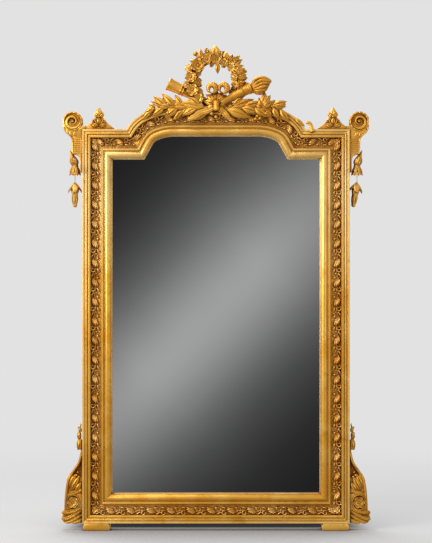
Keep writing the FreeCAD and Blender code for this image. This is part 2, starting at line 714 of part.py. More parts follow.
def left_husk():
    """Leafy bud over an open-looking cup, hung under the shaft."""
    total = HUSK_HEIGHT + CUP_HEIGHT
    steps = [
        (0.0, 0.0),
        (HUSK_FOOT_SHARE * HUSK_RADIUS, 0.0),
        ((HUSK_RADIUS, HUSK_BELLY_AT * HUSK_HEIGHT), (CUP_NECK_RADIUS, HUSK_HEIGHT)),
        ((CUP_BELLY[0] * HUSK_RADIUS, HUSK_HEIGHT + CUP_BELLY[1] * CUP_HEIGHT), (CUP_RADIUS, total)),
        (0.0, total),
    ]
    return turned(steps, drop_axis(), FreeCAD.Vector(0, 0, -1))


def left_drop_pieces(tilt):
    """Stiff wire and leaf drop below the cup, both leaned towards the frame by an angle."""
    lean = math.radians(tilt)
    down = FreeCAD.Vector(math.sin(lean), 0, -math.cos(lean))
    hook = drop_axis() - FreeCAD.Vector(0, 0, HUSK_HEIGHT + CUP_HEIGHT)
    plumb = FreeCAD.Vector(0, 0, -1)
    wire = Part.makeCylinder(WIRE_RADIUS, WIRE_LENGTH, hook, plumb)
    foot_radius = LEAF_DROP_FOOT_SHARE * LEAF_DROP_RADIUS
    neck = (LEAF_DROP_NECK[0] * LEAF_DROP_RADIUS, LEAF_DROP_NECK[1] * LEAF_DROP_LENGTH)
    belly = (LEAF_DROP_BELLY[0] * LEAF_DROP_RADIUS, LEAF_DROP_BELLY[1] * LEAF_DROP_LENGTH)
    steps = [
        (0.0, 0.0),
        (foot_radius, 0.0),
        (neck, (LEAF_DROP_FLARE, LEAF_DROP_FLARE_AT * LEAF_DROP_LENGTH)),
        (LEAF_DROP_RADIUS, LEAF_DROP_FLARE_END * LEAF_DROP_LENGTH),
        (belly, (0.0, LEAF_DROP_LENGTH)),
    ]
    foot = hook + plumb * WIRE_LENGTH
    seat = foot + plumb * (foot_radius * math.sin(lean))
    return wire, turned(steps, seat, down)


def left_lower_console():
    """Wing of acanthus on the frame's side: an S over an upright, a toe, and a rosette boss."""
    front = MOULDING_FRONT + WING_SETBACK
    foot = FOOT_HEIGHT + WING_LIFT
    head = FOOT_HEIGHT + WING_HEIGHT
    bend_up = (WING_HEIGHT + WING_SHOULDER) / 2
    bend_out = (WING_TOP_WIDTH + WING_WIDTH) / 2

    def at(out, up):
        return (-HALF_WIDTH - out, FOOT_HEIGHT + up)

    def between(near, far):
        return near + WING_CURVE_SHARE * (far - near)

    upper = (between(WING_TOP_WIDTH, bend_out) - WING_UPPER_HOLLOW, (bend_up + WING_HEIGHT) / 2)
    lower = (between(bend_out, WING_WIDTH) + WING_LOWER_BELLY, (bend_up + WING_SHOULDER) / 2)
    toe_turn = WING_TOE_TURN * WING_TOE_HEIGHT
    steps = [
        (-HALF_WIDTH, foot),
        (-HALF_WIDTH, head),
        (-HALF_WIDTH - WING_TOP_WIDTH, head),
        (at(*upper), at(bend_out, bend_up)),
        (at(*lower), at(WING_WIDTH, WING_SHOULDER)),
        at(WING_WIDTH, WING_TOE_HEIGHT),
        (at(WING_TOE_WIDTH, toe_turn), at(WING_WIDTH - WING_TOE_INSET, WING_LIFT)),
    ]
    rosette_foot = FreeCAD.Vector(
        -HALF_WIDTH - ROSETTE_OFFSET, front - ROSETTE_HEIGHT, FOOT_HEIGHT + ROSETTE_RISE
    )
    rosette = Part.makeCylinder(ROSETTE_RADIUS, ROSETTE_HEIGHT, rosette_foot, FreeCAD.Vector(0, 1, 0))
    return joined([prism(steps, front, front + WING_DEPTH), rosette])


def left_bellflower():
    """Knopped bud that climbs the frame's side above the wing."""
    steps = grown(BELLFLOWER_OUTLINE, BELLFLOWER_RADIUS, BELLFLOWER_HEIGHT)
    foot = FreeCAD.Vector(
        -HALF_WIDTH - BELLFLOWER_CLEARANCE - BELLFLOWER_RADIUS,
        MOULDING_FRONT + WING_SETBACK + WING_DEPTH / 2,
        FOOT_HEIGHT + WING_HEIGHT,
    )
    return turned(steps, foot, FreeCAD.Vector(0, 0, 1))


# Crest

def crest_point(place, depth):
    """Point from its (across, rise) place over the crown and its depth."""
    return FreeCAD.Vector(place[0], depth, CROWN_TOP + place[1])


def leaf(foot, tip, width, front, back):
    """Lance-shaped leaf between two places over the crown."""
    length = math.hypot(tip[0] - foot[0], tip[1] - foot[1])
    angle = math.atan2(tip[1] - foot[1], tip[0] - foot[0])
    middle = moved(foot, angle, length / 2)
    low = moved(middle, angle - math.pi / 2, width / 2)
    high = moved(middle, angle + math.pi / 2, width / 2)

    def up(place):
        return (place[0], place[1] + CROWN_TOP)

    return prism([up(foot), (up(low), up(tip)), (up(high), up(foot))], front, back)


def branch(stem, leaves):
    """Laurel branch: a jointed stem with its leaves, carved in one."""
    back = MOULDING_FRONT - CREST_SEAT
    front = back - LEAF_THICKNESS
    pieces = [leaf(*one, front, back) for one in leaves]
    for start, end in zip(stem, stem[1:]):
        angle = math.atan2(end[1] - start[1], end[0] - start[0])
        corners = []
        for place, side in ((start, -1), (end, -1), (end, 1), (start, 1)):
            across, rise = moved(place, angle + math.pi / 2, side * STEM_WIDTH / 2)
            corners.append((across, rise + CROWN_TOP))
        pieces.append(prism(corners, front, back))
        joint = crest_point(end, front)
        pieces.append(Part.makeCylinder(STEM_WIDTH / 2, LEAF_THICKNESS, joint, FreeCAD.Vector(0, 1, 0)))
    return joined(pieces)


def wreath():
    """Ring of flower heads with a bud on top, open at the bottom and flat on its back."""
    half_gap = WREATH_GAP_ANGLE / 2
    centre = crest_point((0.0, WREATH_RISE), MOULDING_BACK - WREATH_SETBACK)
    start = math.radians(270 + half_gap)
    sweep_angle = 360 - WREATH_GAP_ANGLE

    def on_ring(angle):
        across, up = moved((centre.x, centre.z), angle, WREATH_RADIUS)
        return FreeCAD.Vector(across, centre.y, up)

    heading = FreeCAD.Vector(-math.sin(start), 0, math.cos(start))
    circle = Part.makeCircle(WREATH_CORE_RADIUS, on_ring(start), heading)
    core = Part.Face(Part.Wire(circle)).revolve(centre, FreeCAD.Vector(0, -1, 0), sweep_angle)
    pitch = math.radians(sweep_angle) / WREATH_FLOWERS
    flowers = [
        Part.makeSphere(WREATH_FLOWER_RADIUS, on_ring(start + (index + 0.5) * pitch))
        for index in range(WREATH_FLOWERS)
    ]
    bud_foot = on_ring(math.pi / 2) + FreeCAD.Vector(WREATH_BUD_OFFSET, 0, 0)
    bud_steps = grown(WREATH_BUD_OUTLINE, WREATH_BUD_RADIUS, WREATH_BUD_LENGTH)
    bud = turned(bud_steps, bud_foot, FreeCAD.Vector(0, 0, 1))
    keep = block(-REACH, REACH, MOULDING_BACK - REACH, MOULDING_BACK, 0.0, REACH)
    return joined([core, *flowers, bud]).common(keep)


def knot():
    """Ribbon band that binds torch, quiver and branches at the middle."""
    def at(across, rise):
        return (across, CROWN_TOP + rise)

    middle = (KNOT_LEFT + KNOT_RIGHT) / 2
    steps = [
        at(KNOT_LEFT + KNOT_ROUND, KNOT_FOOT),
        (at(middle, KNOT_FOOT - KNOT_ROUND / 2), at(KNOT_RIGHT - KNOT_ROUND, KNOT_FOOT)),
        at(KNOT_RIGHT, KNOT_FOOT + KNOT_ROUND),
        at(KNOT_RIGHT, KNOT_HEAD - KNOT_ROUND),
        at(KNOT_RIGHT - KNOT_ROUND, KNOT_HEAD),
        at(KNOT_LEFT + KNOT_ROUND, KNOT_HEAD),
        at(KNOT_LEFT, KNOT_HEAD - KNOT_ROUND),
        at(KNOT_LEFT, KNOT_FOOT + KNOT_ROUND),
    ]
    return prism(steps, CREST_FRONT, MOULDING_FRONT - CREST_SEAT)


def bow():
    """Two ribbon loops on a tie that stands on the knot."""
    front = CREST_FRONT + BOW_SETBACK
    pieces = []
    for side in (-1, 1):
        hub = crest_point((BOW_CENTRE + side * (BOW_LOOP_RADIUS - BOW_LOOP_LAP), BOW_RISE), front)
        outer = Part.makeCylinder(BOW_LOOP_RADIUS, BOW_RIBBON_WIDTH, hub, FreeCAD.Vector(0, 1, 0))
        hole = Part.makeCylinder(BOW_LOOP_HOLE, BOW_RIBBON_WIDTH, hub, FreeCAD.Vector(0, 1, 0))
        pieces.append(outer.cut(hole))
    pieces.append(block(
        BOW_CENTRE - BOW_TIE_WIDTH / 2, BOW_CENTRE + BOW_TIE_WIDTH / 2,
        front, front + BOW_RIBBON_WIDTH, CROWN_TOP + KNOT_HEAD, CROWN_TOP + BOW_RISE,
    ))
    return joined(pieces)


def torch_line():
    """Foot, heading and length of the torch's shaft."""
    depth = MOULDING_BACK - TORCH_SETBACK
    foot = crest_point(TORCH_FOOT, depth)
    shaft = crest_point(TORCH_CUP, depth) - foot
    return foot, shaft / shaft.Length, shaft.Length


def torch():
    """Tapered shaft that widens to a ringed cup."""
    foot, heading, length = torch_line()
    neck = length - TORCH_RING_HEIGHT
    slope = (TORCH_CUP_RADIUS - TORCH_FOOT_RADIUS) / length
    neck_radius = TORCH_FOOT_RADIUS + slope * neck
    steps = [
        (0.0, 0.0),
        (TORCH_FOOT_RADIUS, 0.0),
        (neck_radius, neck),
        (neck_radius + TORCH_RING_STEP, neck),
        (TORCH_CUP_RADIUS + TORCH_RING_STEP, length),
        (0.0, length),
    ]
    return turned(steps, foot, heading)


def flame():
    """Swelling flame on the torch's cup."""
    foot, heading, length = torch_line()
    neck = (FLAME_NECK[0] * FLAME_RADIUS, FLAME_NECK[1] * FLAME_LENGTH)
    steps = [
        (0.0, 0.0),
        (TORCH_CUP_RADIUS, 0.0),
        ((FLAME_RADIUS, FLAME_BELLY_AT * FLAME_LENGTH), neck),
        (0.0, FLAME_LENGTH),
    ]
    return turned(steps, foot + heading * length, heading)


def quiver():
    """Tapered quiver with two rings and a hollowed mouth, flat on its back."""
    depth = MOULDING_BACK - QUIVER_SETBACK
    foot = crest_point(QUIVER_FOOT, depth)
    shaft = crest_point(QUIVER_MOUTH, depth) - foot
    length = shaft.Length
    slope = (QUIVER_MOUTH_RADIUS - QUIVER_FOOT_RADIUS) / length

    def radius(height):
        return QUIVER_FOOT_RADIUS + slope * height

    ring = length - QUIVER_RING_AT
    band = ring + QUIVER_RING_WIDTH
    steps = [
        (0.0, 0.0),
        (radius(0.0), 0.0),
        (radius(ring), ring),
        (radius(ring) + QUIVER_RING_STEP, ring),
        (radius(band) + QUIVER_RING_STEP, band),
        (radius(band), band),
        (radius(length), length),
        (radius(length) - QUIVER_RIM, length),
        (radius(length) - QUIVER_RIM, length - QUIVER_MOUTH_DEPTH),
        (0.0, length - QUIVER_MOUTH_DEPTH),
    ]
    keep = block(-REACH, REACH, MOULDING_BACK - REACH, MOULDING_BACK, 0.0, REACH)
    return turned(steps, foot, shaft).common(keep)


def backing():
    """Block on the chassis crown that carries the crest from behind."""
    steps = [
        (-BACKING_HALF_WIDTH, CROWN_TOP),
        ((0.0, CROWN_TOP + BACKING_HEIGHT), (BACKING_HALF_WIDTH, CROWN_TOP)),
    ]
    return prism(steps, MOULDING_BACK, CHASSIS_BACK)


def dowels(clearance):
    """Two pegs, or the holes they stand in, between the backing and the chassis crown."""
    depth = (MOULDING_BACK + CHASSIS_BACK) / 2
    length = DOWEL_LENGTH + 2 * clearance
    pegs = []
    for side in (-1, 1):
        foot = FreeCAD.Vector(side * DOWEL_SPACING / 2, depth, CROWN_TOP - length / 2)
        pegs.append(Part.makeCylinder(DOWEL_RADIUS + clearance, length, foot))
    return pegs


def crest(crown):
    """Every crest piece, each let into the ones in front of it."""
    centre = knot()
    shaft = torch().cut([centre, crown])
    fire = flame()
    case = quiver().cut([centre, crown, shaft])
    ring = wreath().cut([shaft, fire, case, crown])
    loops = bow().cut([shaft, ring])
    tail_back = MOULDING_FRONT - CREST_SEAT - LEAF_THICKNESS - CREST_SEAT
    tails = [
        leaf(*one, tail_back - TAIL_THICKNESS, tail_back).cut([centre, shaft]) for one in TAILS
    ]
    ahead = [centre, shaft, fire, ring, loops]
    return {
        "ribbon_knot": centre,
        "torch": shaft,
        "torch_flame": fire,
        "quiver": case,
        "wreath": ring,
        "ribbon_bow": loops,
        "ribbon_tails": Part.makeCompound(tails),
        "left_laurel_branch": branch(LEFT_STEM, LEFT_LEAVES).cut(ahead),
        "right_laurel_branch": branch(RIGHT_STEM, RIGHT_LEAVES).cut(ahead),
        "crest_backing": backing().cut(dowels(DOWEL_CLEARANCE)),
        "crest_dowels": Part.makeCompound(dowels(0.0)),
    }


# Hanging hardware

def ring_axis():
    """Middle of the left ring's bar, which is its hinge."""
    return FreeCAD.Vector(-HALF_WIDTH + STRAP_OFFSET, CHASSIS_BACK + EYE_RADIUS, SHOULDER_TOP - STRAP_DROP)


def strap_screw_places():
    """Seats of the left strap's screws."""
    axis = ring_axis()
    return [FreeCAD.Vector(axis.x, CHASSIS_BACK + STRAP_THICKNESS, axis.z + rise) for rise in STRAP_SCREWS]


def left_strap():
    """Iron plate on the chassis with an eye rolled at its lower end."""
    axis = ring_axis()
    along = FreeCAD.Vector(1, 0, 0)
    side = axis - along * (STRAP_WIDTH / 2)
    plate = block(
        side.x, side.x + STRAP_WIDTH, CHASSIS_BACK, CHASSIS_BACK + STRAP_THICKNESS,
        axis.z, axis.z + STRAP_LENGTH,
    )
    roll = Part.makeCylinder(EYE_RADIUS, STRAP_WIDTH, side, along)
    bore = Part.makeCylinder(RING_WIRE_RADIUS + EYE_CLEARANCE, STRAP_WIDTH, side, along)
    return joined([plate, roll]).cut(bore)


def left_ring():
    """D-shaped ring: straight bar, rounded corners, short sides and a half-round loop."""
    axis = ring_axis()
    bar_half = STRAP_WIDTH / 2 + EYE_SIDE_GAP
    half = max(RING_HALF_WIDTH, bar_half + RING_CORNER_RADIUS)
    corner = half - bar_half
    turn = corner * (1 - math.sqrt(0.5))
    side_foot = -corner - RING_SIDE_LENGTH
    steps = [
        (-bar_half, 0.0),
        (bar_half, 0.0),
        ((half - turn, -turn), (half, -corner)),
        (half, side_foot),
        ((0.0, side_foot - half), (-half, side_foot)),
        (-half, -corner),
        ((-half + turn, -turn), (-bar_half, 0.0)),
    ]
    edges = face_of(steps, lambda across, up: axis + FreeCAD.Vector(across, 0, up)).OuterWire
    start = axis - FreeCAD.Vector(bar_half, 0, 0)
    section = Part.Wire(Part.makeCircle(RING_WIRE_RADIUS, start, FreeCAD.Vector(1, 0, 0)))
    return edges.makePipeShell([section], True, False)


def parts():
    """Every piece of the mirror by its node name."""
    moulding = framing(moulding_profile())
    chassis = chassis_boards()
    boards = backboards()
    toward_front = FreeCAD.Vector(0, -1, 0)
    board_places = board_screw_places()
    board_holes = [screw_hole(place, toward_front) for place in board_places]
    strap_places = strap_screw_places()
    strap_screws = [screw(place, toward_front) for place in strap_places]
    strap_holes = [screw_hole(place, toward_front) for place in strap_places]
    left_wire, left_drop = left_drop_pieces(0.0)
    right_wire, right_drop = left_drop_pieces(RIGHT_DROP_TILT)
    strap = left_strap().cut(strap_holes)
    pieces = {f"{name}_moulding": run for name, run in moulding.items()}
    pieces.update({f"{name}_frieze": run for name, run in framing(frieze_profile()).items()})
    stile_holes = board_holes + strap_holes + [mirrored(hole) for hole in strap_holes]
    for name, board in chassis.items():
        holes = stile_holes if name.endswith("stile") else dowels(DOWEL_CLEARANCE)
        pieces[name] = board.cut(holes)
    for name, board in boards.items():
        pieces[name] = board.cut(board_holes)
    pieces["mirror_plate"] = prism(
        sight_outline(GLASS_LAP), MOULDING_BACK, MOULDING_BACK + GLASS_THICKNESS
    )
    pieces["glass_wedges"] = Part.makeCompound(glass_wedges())
    pieces["backboard_screws"] = Part.makeCompound([screw(place, toward_front) for place in board_places])
    pairs = {
        "foot": left_foot(),
        "palmette": left_palmette(),
        "upper_console": left_upper_console(),
        "husk": left_husk(),
        "lower_console": left_lower_console(),
        "bellflower": left_bellflower(),
        "hanging_strap": strap,
        "hanging_ring": left_ring(),
    }
    for name, solid in pairs.items():
        pieces[f"left_{name}"] = solid
        pieces[f"right_{name}"] = mirrored(solid)
    pieces["drop_wires"] = Part.makeCompound([left_wire, mirrored(right_wire)])
    pieces["left_leaf_drop"] = left_drop
    pieces["right_leaf_drop"] = mirrored(right_drop)
    pieces["strap_screws"] = Part.makeCompound(strap_screws + [mirrored(one) for one in strap_screws])
    pieces.update(crest(moulding["crown"]))
    return pieces


def main():
    """Writes one file per piece."""
    os.makedirs("parts", exist_ok=True)
    for name, shape in parts().items():
        shape.exportStep(f"parts/{name}.step")
        volume = shape.Volume / 1000
        print(f"{name}: {len(shape.Solids)} solid(s), {volume:.1f} cm3, valid {shape.isValid()}")


if __name__ == "__main__":
    main()
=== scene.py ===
"""Gilded pediment mirror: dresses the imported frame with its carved, gilded and weathered pieces."""
import cmath
import logging
import math
import random
from dataclasses import dataclass
from enum import Enum
from typing import Callable, Iterable, Sequence

import bpy
from mathutils import Matrix, Vector


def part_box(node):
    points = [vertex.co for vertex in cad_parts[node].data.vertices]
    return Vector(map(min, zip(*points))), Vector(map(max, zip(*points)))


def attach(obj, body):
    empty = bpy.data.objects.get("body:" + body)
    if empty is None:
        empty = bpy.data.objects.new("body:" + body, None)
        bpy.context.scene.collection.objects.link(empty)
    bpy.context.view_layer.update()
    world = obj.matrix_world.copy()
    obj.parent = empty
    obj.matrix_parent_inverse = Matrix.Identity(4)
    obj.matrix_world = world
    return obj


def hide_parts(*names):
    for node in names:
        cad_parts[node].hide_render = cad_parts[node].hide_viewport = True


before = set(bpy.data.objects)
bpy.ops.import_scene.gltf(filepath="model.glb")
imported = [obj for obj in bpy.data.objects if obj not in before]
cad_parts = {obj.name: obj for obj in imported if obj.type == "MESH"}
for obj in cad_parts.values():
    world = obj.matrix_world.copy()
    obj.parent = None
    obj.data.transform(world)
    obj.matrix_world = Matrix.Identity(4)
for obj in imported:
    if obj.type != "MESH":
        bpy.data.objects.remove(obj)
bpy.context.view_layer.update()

LOG = logging.getLogger("pediment_mirror")
MM = 0.001
FRAME_BODY = "frame"
ACROSS = Vector((1.0, 0.0, 0.0))
FORWARD = Vector((0.0, -1.0, 0.0))
UP = Vector((0.0, 0.0, 1.0))
MIRRORED = Matrix.Scale(-1.0, 4, ACROSS)
ARRIS_DEGREES = 38.0
MERGE_DISTANCE = 1e-6

Piece = bpy.types.Object
Material = bpy.types.Material
Node = bpy.types.Node
Socket = bpy.types.NodeSocket
Pair = tuple[float, float]
Row = tuple[float, ...]
Colour = tuple[float, float, float]
Surface = Callable[[float, float], Vector]


def mm(across: float, depth: float, up: float) -> Vector:
    """Point in metres from millimetres."""
    return Vector((across, depth, up)) * MM


def front_ray(angle: float) -> Vector:
    """Direction at an angle in front view, from +X towards up."""
    return Vector((math.cos(angle), 0.0, math.sin(angle)))


def rays(count: int, start: float, level: Vector = ACROSS) -> list[Vector]:
    """Directions spread evenly round an axis, the first at an angle from the level one."""
    angles = [start + math.tau * index / count for index in range(count)]
    return [level * math.cos(angle) - FORWARD * math.sin(angle) for angle in angles]


def smooth_step(low: float, high: float, value: float) -> float:
    """Share from 0 at low to 1 at high, eased at both ends."""
    share = min(max((value - low) / (high - low), 0.0), 1.0)
    return share * share * (3.0 - 2.0 * share)


def along(points: Sequence[Vector], share: float) -> Vector:
    """Point on the smooth line through some points.

    Args:
        points: The points that the line goes through, two or more.
        share: How far along the line, from 0 to 1.

    Returns:
        The point on the line.
    """
    last = len(points) - 1
    place = min(max(share, 0.0), 1.0) * last
    index = min(int(place), last - 1)
    part = place - index
    before, after = points[max(index - 1, 0)], points[min(index + 2, last)]
    start, end = points[index], points[index + 1]
    return (
        start * 2.0
        + (end - before) * part
        + (before * 2.0 - start * 5.0 + end * 4.0 - after) * part ** 2
        + (start * 3.0 - before - end * 3.0 + after) * part ** 3
    ) * 0.5


def bend(start: Pair, middle: Pair, end: Pair, steps: int) -> list[Pair]:
    """Round bend through three points.

    Args:
        start: Where the bend starts.
        middle: Any point that it goes through.
        end: Where it ends.
        steps: How many points to give.

    Returns:
        The points after the start.
    """
    first, second, third = complex(*start), complex(*middle), complex(*end)
    ratio = (third - first) / (second - first)
    centre = first + (second - first) * (ratio - abs(ratio) ** 2) / (2j * ratio.imag)
    spoke = first - centre
    halfway, turn = (cmath.phase((point - centre) / spoke) % math.tau for point in (second, third))
    if halfway > turn:
        turn -= math.tau
    points = [centre + spoke * cmath.exp(1j * turn * step / steps) for step in range(1, steps + 1)]
    return [(point.real, point.imag) for point in points]


class Side(Enum):
    """The two sides of the mirror, by the sign of their place across it."""

    LEFT = -1
    RIGHT = 1

    @property
    def word(self) -> str:
        """The side's word in node names."""
        return self.name.lower()


class Grain(Enum):
    """Which way a board's grain runs, as the stretch of its pattern along each axis."""

    LEVEL = (0.5, 14.0, 14.0)
    UPRIGHT = (14.0, 14.0, 0.5)


# Finishes


class NodeDesk:
    """Nodes of a material or world, with short calls for what they share."""

    def __init__(self, owner: Material | bpy.types.World, coordinates: str, clamped: bool) -> None:
        """Clears the owner's nodes.

        Args:
            owner: The material or world.
            coordinates: The texture coordinates that its patterns read.
            clamped: Whether sums are kept between 0 and 1.
        """
        owner.use_nodes = True
        self.tree = owner.node_tree
        self.tree.nodes.clear()
        self.clamped = clamped
        self.coordinates = self.node("TexCoord", {}).outputs[coordinates]

    def put(self, socket: Socket, value: object) -> None:
        """Links a socket to another one, or sets its value.

        Args:
            socket: The socket to feed.
            value: Another socket, or the value to set.
        """
        if isinstance(value, Socket):
            self.tree.links.new(value, socket)
        else:
            socket.default_value = (*value, 1.0) if socket.type == "RGBA" else value

    def node(self, kind: str, inputs: dict[str | int, object], **settings: object) -> Node:
        """Adds a node with its settings, and links or sets its inputs.

        Args:
            kind: The node's type, without the prefix that all of them share.
            inputs: Sockets or values, by the names or places of the inputs.
            settings: The node's own properties.

        Returns:
            The new node.
        """
        made = self.tree.nodes.new(f"ShaderNode{kind}")
        for name, value in settings.items():
            setattr(made, name, value)
        for name, value in inputs.items():
            self.put(made.inputs[name], value)
        return made

    def split(self) -> list[Socket]:
        """The coordinates one by one."""
        return list(self.node("SeparateXYZ", {0: self.coordinates}).outputs)

    def maths(self, operation: str, first: object, second: object = 0.0) -> Socket:
        """One sum on two values or sockets."""
        values = {0: first, 1: second}
        return self.node("Math", values, operation=operation, use_clamp=self.clamped).outputs[0]

    def blend(self, share: object, first: object, second: object, kind: str = "MIX") -> Socket:
        """Two colours mixed by a share."""
        values = {"Factor": share, 6: first, 7: second}
        return self.node("Mix", values, data_type="RGBA", blend_type=kind).outputs[2]

    def ranged(
        self, value: Socket, low: float, high: float, start: float = 0.0, end: float = 1.0,
        easing: str = "SMOOTHSTEP",
    ) -> Socket:
        """A value's range mapped onto another one and kept inside it.

        Args:
            value: The socket to read.
            low: Value that becomes start.
            high: Value that becomes end.
            start: First end of the new range.
            end: Second end of the new range.
            easing: How the value goes from one end to the other.

        Returns:
            The mapped value socket.
        """
        values = {"Value": value, "From Min": low, "From Max": high, "To Min": start, "To Max": end}
        return self.node("MapRange", values, interpolation_type=easing).outputs["Result"]


class CoatDesk(NodeDesk):
    """A new material's nodes, with its shader."""

    def __init__(self, name: str) -> None:
        """Starts a material that has only its shader and output.

        Args:
            name: The material's name.
        """
        self.material = bpy.data.materials.new(name)
        super().__init__(self.material, "Object", True)
        self.shader = self.node("BsdfPrincipled", {})
        self.node("OutputMaterial", {"Surface": self.shader.outputs["BSDF"]})

    def dress(self, **sockets: object) -> None:
        """Sets or links the shader's sockets, named with underscores for spaces."""
        for name, value in sockets.items():
            self.put(self.shader.inputs[name.replace("_", " ")], value)

    def noise(
        self, scale: float, detail: float = 3.0, place: Socket | None = None,
        distortion: float = 0.0,
    ) -> Socket:
        """Noise pattern.

        Args:
            scale: Patches per metre.
            detail: How many finer layers are added.
            place: Coordinates to read, the object's own if none are given.
            distortion: How far the pattern is pulled about.

        Returns:
            The pattern's value socket.
        """
        values = {"Scale": scale, "Detail": detail, "Distortion": distortion}
        return self.node("TexNoise", {"Vector": place or self.coordinates, **values}).outputs["Fac"]

    def hollows(self, reach: float) -> Socket:
        """How open the surface is within a reach, from 0 in a hollow to 1."""
        return self.node("AmbientOcclusion", {"Distance": reach}, samples=6).outputs["AO"]

    def arrises(self, reach: float) -> Socket:
        """How solid the piece is just under its surface, less than 1 beside an arris."""
        values = {"Distance": reach}
        return self.node("AmbientOcclusion", values, samples=4, inside=True).outputs["AO"]

    def bump(self, *layers: tuple[Socket, float, float]) -> None:
        """Stacks bump layers on the shader.

        Args:
            layers: Height socket, strength and depth in metres of each layer.
        """
        below = {}
        for height, strength, depth in layers:
            values = {"Height": height, "Strength": strength, "Distance": depth, **below}
            below = {"Normal": self.node("Bump", values).outputs["Normal"]}
        self.dress(**below)


@dataclass(frozen=True)
class Gilding:
    """Leaf gold over red bole: rubbed on the arrises, brown in the hollows with bole, dirt and
    painted shade, and paler high up as a painted highlight.
    """

    name: str
    bright: Colour
    deep: Colour
    hollow: Colour
    rubbed: Colour = (0.95, 0.66, 0.28)
    reach: float = 0.016
    hollow_start: float = 0.25
    hollow_end: float = 0.80
    sheen: float = 0.35
    dullness: float = 0.22
    metal: float = 0.70
    wear: float = 0.7
    # Painted highlight: the share and the paler colour towards which the gold is painted high up,
    # standing in for brighter light there.
    fading: float = 0.55
    top_highlight_colour: Colour = (0.97, 0.74, 0.33)
    glint: Colour = (1.0, 0.78, 0.44)

    def mix(self) -> Material:
        """Builds the finish from nodes.

        Returns:
            The finish as a material.
        """
        desk = CoatDesk(self.name)
        patches = desk.noise(7.0, 4.0, distortion=0.6)
        gold = desk.blend(desk.ranged(patches, 0.36, 0.64), self.deep, self.bright)
        # Painted highlight: from 0.85 m up the gold is painted paler, standing in for brighter light
        # on the upper stiles, and less so at the head from 1.36 m.
        height = desk.split()[2]
        highlight_under_head = desk.ranged(height, 1.36, 1.45, self.fading, 0.2 * self.fading)
        fading = desk.maths("MULTIPLY", desk.ranged(height, 0.85, 1.28), highlight_under_head)
        gold = desk.blend(fading, gold, self.top_highlight_colour)
        # Darker, duller and less metallic where the AO finds hollows: bole and dirt that gather
        # there, deepened as painted shade. The specks and smears added next are dirt.
        dirt_and_shade = desk.ranged(desk.hollows(self.reach), self.hollow_start, self.hollow_end, 1.0, 0.0)
        specks = desk.ranged(desk.noise(95.0, 4.0), 0.58, 0.78, 0.0, 0.5)
        smears = desk.ranged(desk.noise(15.0, 4.0, distortion=1.0), 0.52, 0.78, 0.0, 0.38)
        dirt_and_shade = desk.maths("ADD", desk.maths("ADD", dirt_and_shade, specks), smears)
        edges = desk.ranged(desk.arrises(0.0007), 0.88, 0.55, 0.0, self.wear)
        rubbing = desk.maths("MULTIPLY", edges, desk.ranged(desk.noise(34.0), 0.42, 0.60))
        rough = desk.ranged(patches, 0.3, 0.7, self.sheen + 0.10, self.sheen)
        desk.dress(
            Base_Color=desk.blend(rubbing, desk.blend(dirt_and_shade, gold, self.hollow), self.rubbed),
            Roughness=desk.maths("ADD", rough, desk.maths("MULTIPLY", dirt_and_shade, self.dullness)),
            Metallic=desk.ranged(dirt_and_shade, 0.0, 1.0, self.metal, 0.25),
            Specular_Tint=self.glint, Specular_IOR_Level=0.22,
        )
        desk.bump((desk.noise(55.0), 0.16, 0.0016), (desk.noise(420.0, 2.0), 0.12, 0.0004))
        return desk.material


@dataclass(frozen=True)
class Silvering:
    """Mirror plate: bright silver, very slightly clouded."""

    name: str
    tint: Colour = (0.90, 0.91, 0.92)
    clouded: Colour = (0.86, 0.87, 0.88)

    def mix(self) -> Material:
        """Builds the finish from nodes.

        Returns:
            The finish as a material.
        """
        desk = CoatDesk(self.name)
        clouds = desk.ranged(desk.noise(2.2, 4.0), 0.4, 0.7)
        silver = desk.blend(clouds, self.tint, self.clouded)
        desk.dress(Base_Color=silver, Roughness=0.0, Metallic=1.0)
        return desk.material


@dataclass(frozen=True)
class Softwood:
    """Old sawn pine, darkened and dusty, with its grain along one axis."""

    name: str
    grain: Grain
    pale: Colour = (0.33, 0.205, 0.108)
    dark: Colour = (0.185, 0.103, 0.050)
    dust: Colour = (0.26, 0.20, 0.14)

    def mix(self) -> Material:
        """Builds the finish from nodes.

        Returns:
            The finish as a material.
        """
        desk = CoatDesk(self.name)
        values = {"Vector": desk.coordinates, "Scale": self.grain.value}
        place = desk.node("Mapping", values).outputs["Vector"]
        rings = desk.noise(9.0, 4.0, place, 0.35)
        fibres = desk.noise(60.0, 3.0, place)
        wood = desk.blend(desk.ranged(rings, 0.34, 0.66, 0.35, 1.0), self.dark, self.pale)
        for share, colour in (
            (desk.ranged(fibres, 0.50, 0.74, 0.0, 0.5), self.dark),
            (desk.ranged(desk.noise(3.0, 4.0), 0.45, 0.75, 0.0, 0.6), self.dust),
            # Painted shade: darker in the corners and recesses that the AO finds within 20 mm.
            (desk.ranged(desk.hollows(0.02), 0.3, 0.95, 0.75, 0.0), self.dark),
        ):
            wood = desk.blend(share, wood, colour)
        desk.dress(Base_Color=wood, Roughness=desk.ranged(fibres, 0.3, 0.7, 0.62, 0.86))
        desk.bump((fibres, 0.35, 0.0010), (desk.noise(160.0, 2.0), 0.12, 0.0005))
        return desk.material


@dataclass(frozen=True)
class OldMetal:
    """Worked metal with patches of tarnish."""

    name: str
    bare: Colour
    tarnish: Colour
    roughness: float = 0.42

    def mix(self) -> Material:
        """Builds the finish from nodes.

        Returns:
            The finish as a material.
        """
        desk = CoatDesk(self.name)
        patches = desk.noise(120.0, 5.0, distortion=0.5)
        aged = desk.ranged(patches, 0.40, 0.62)
        desk.dress(
            Base_Color=desk.blend(aged, self.bare, self.tarnish),
            Roughness=desk.ranged(aged, 0.0, 1.0, self.roughness, self.roughness + 0.3),
            Metallic=desk.ranged(aged, 0.0, 1.0, 0.9, 0.35),
        )
        desk.bump((patches, 0.3, 0.0004))
        return desk.material


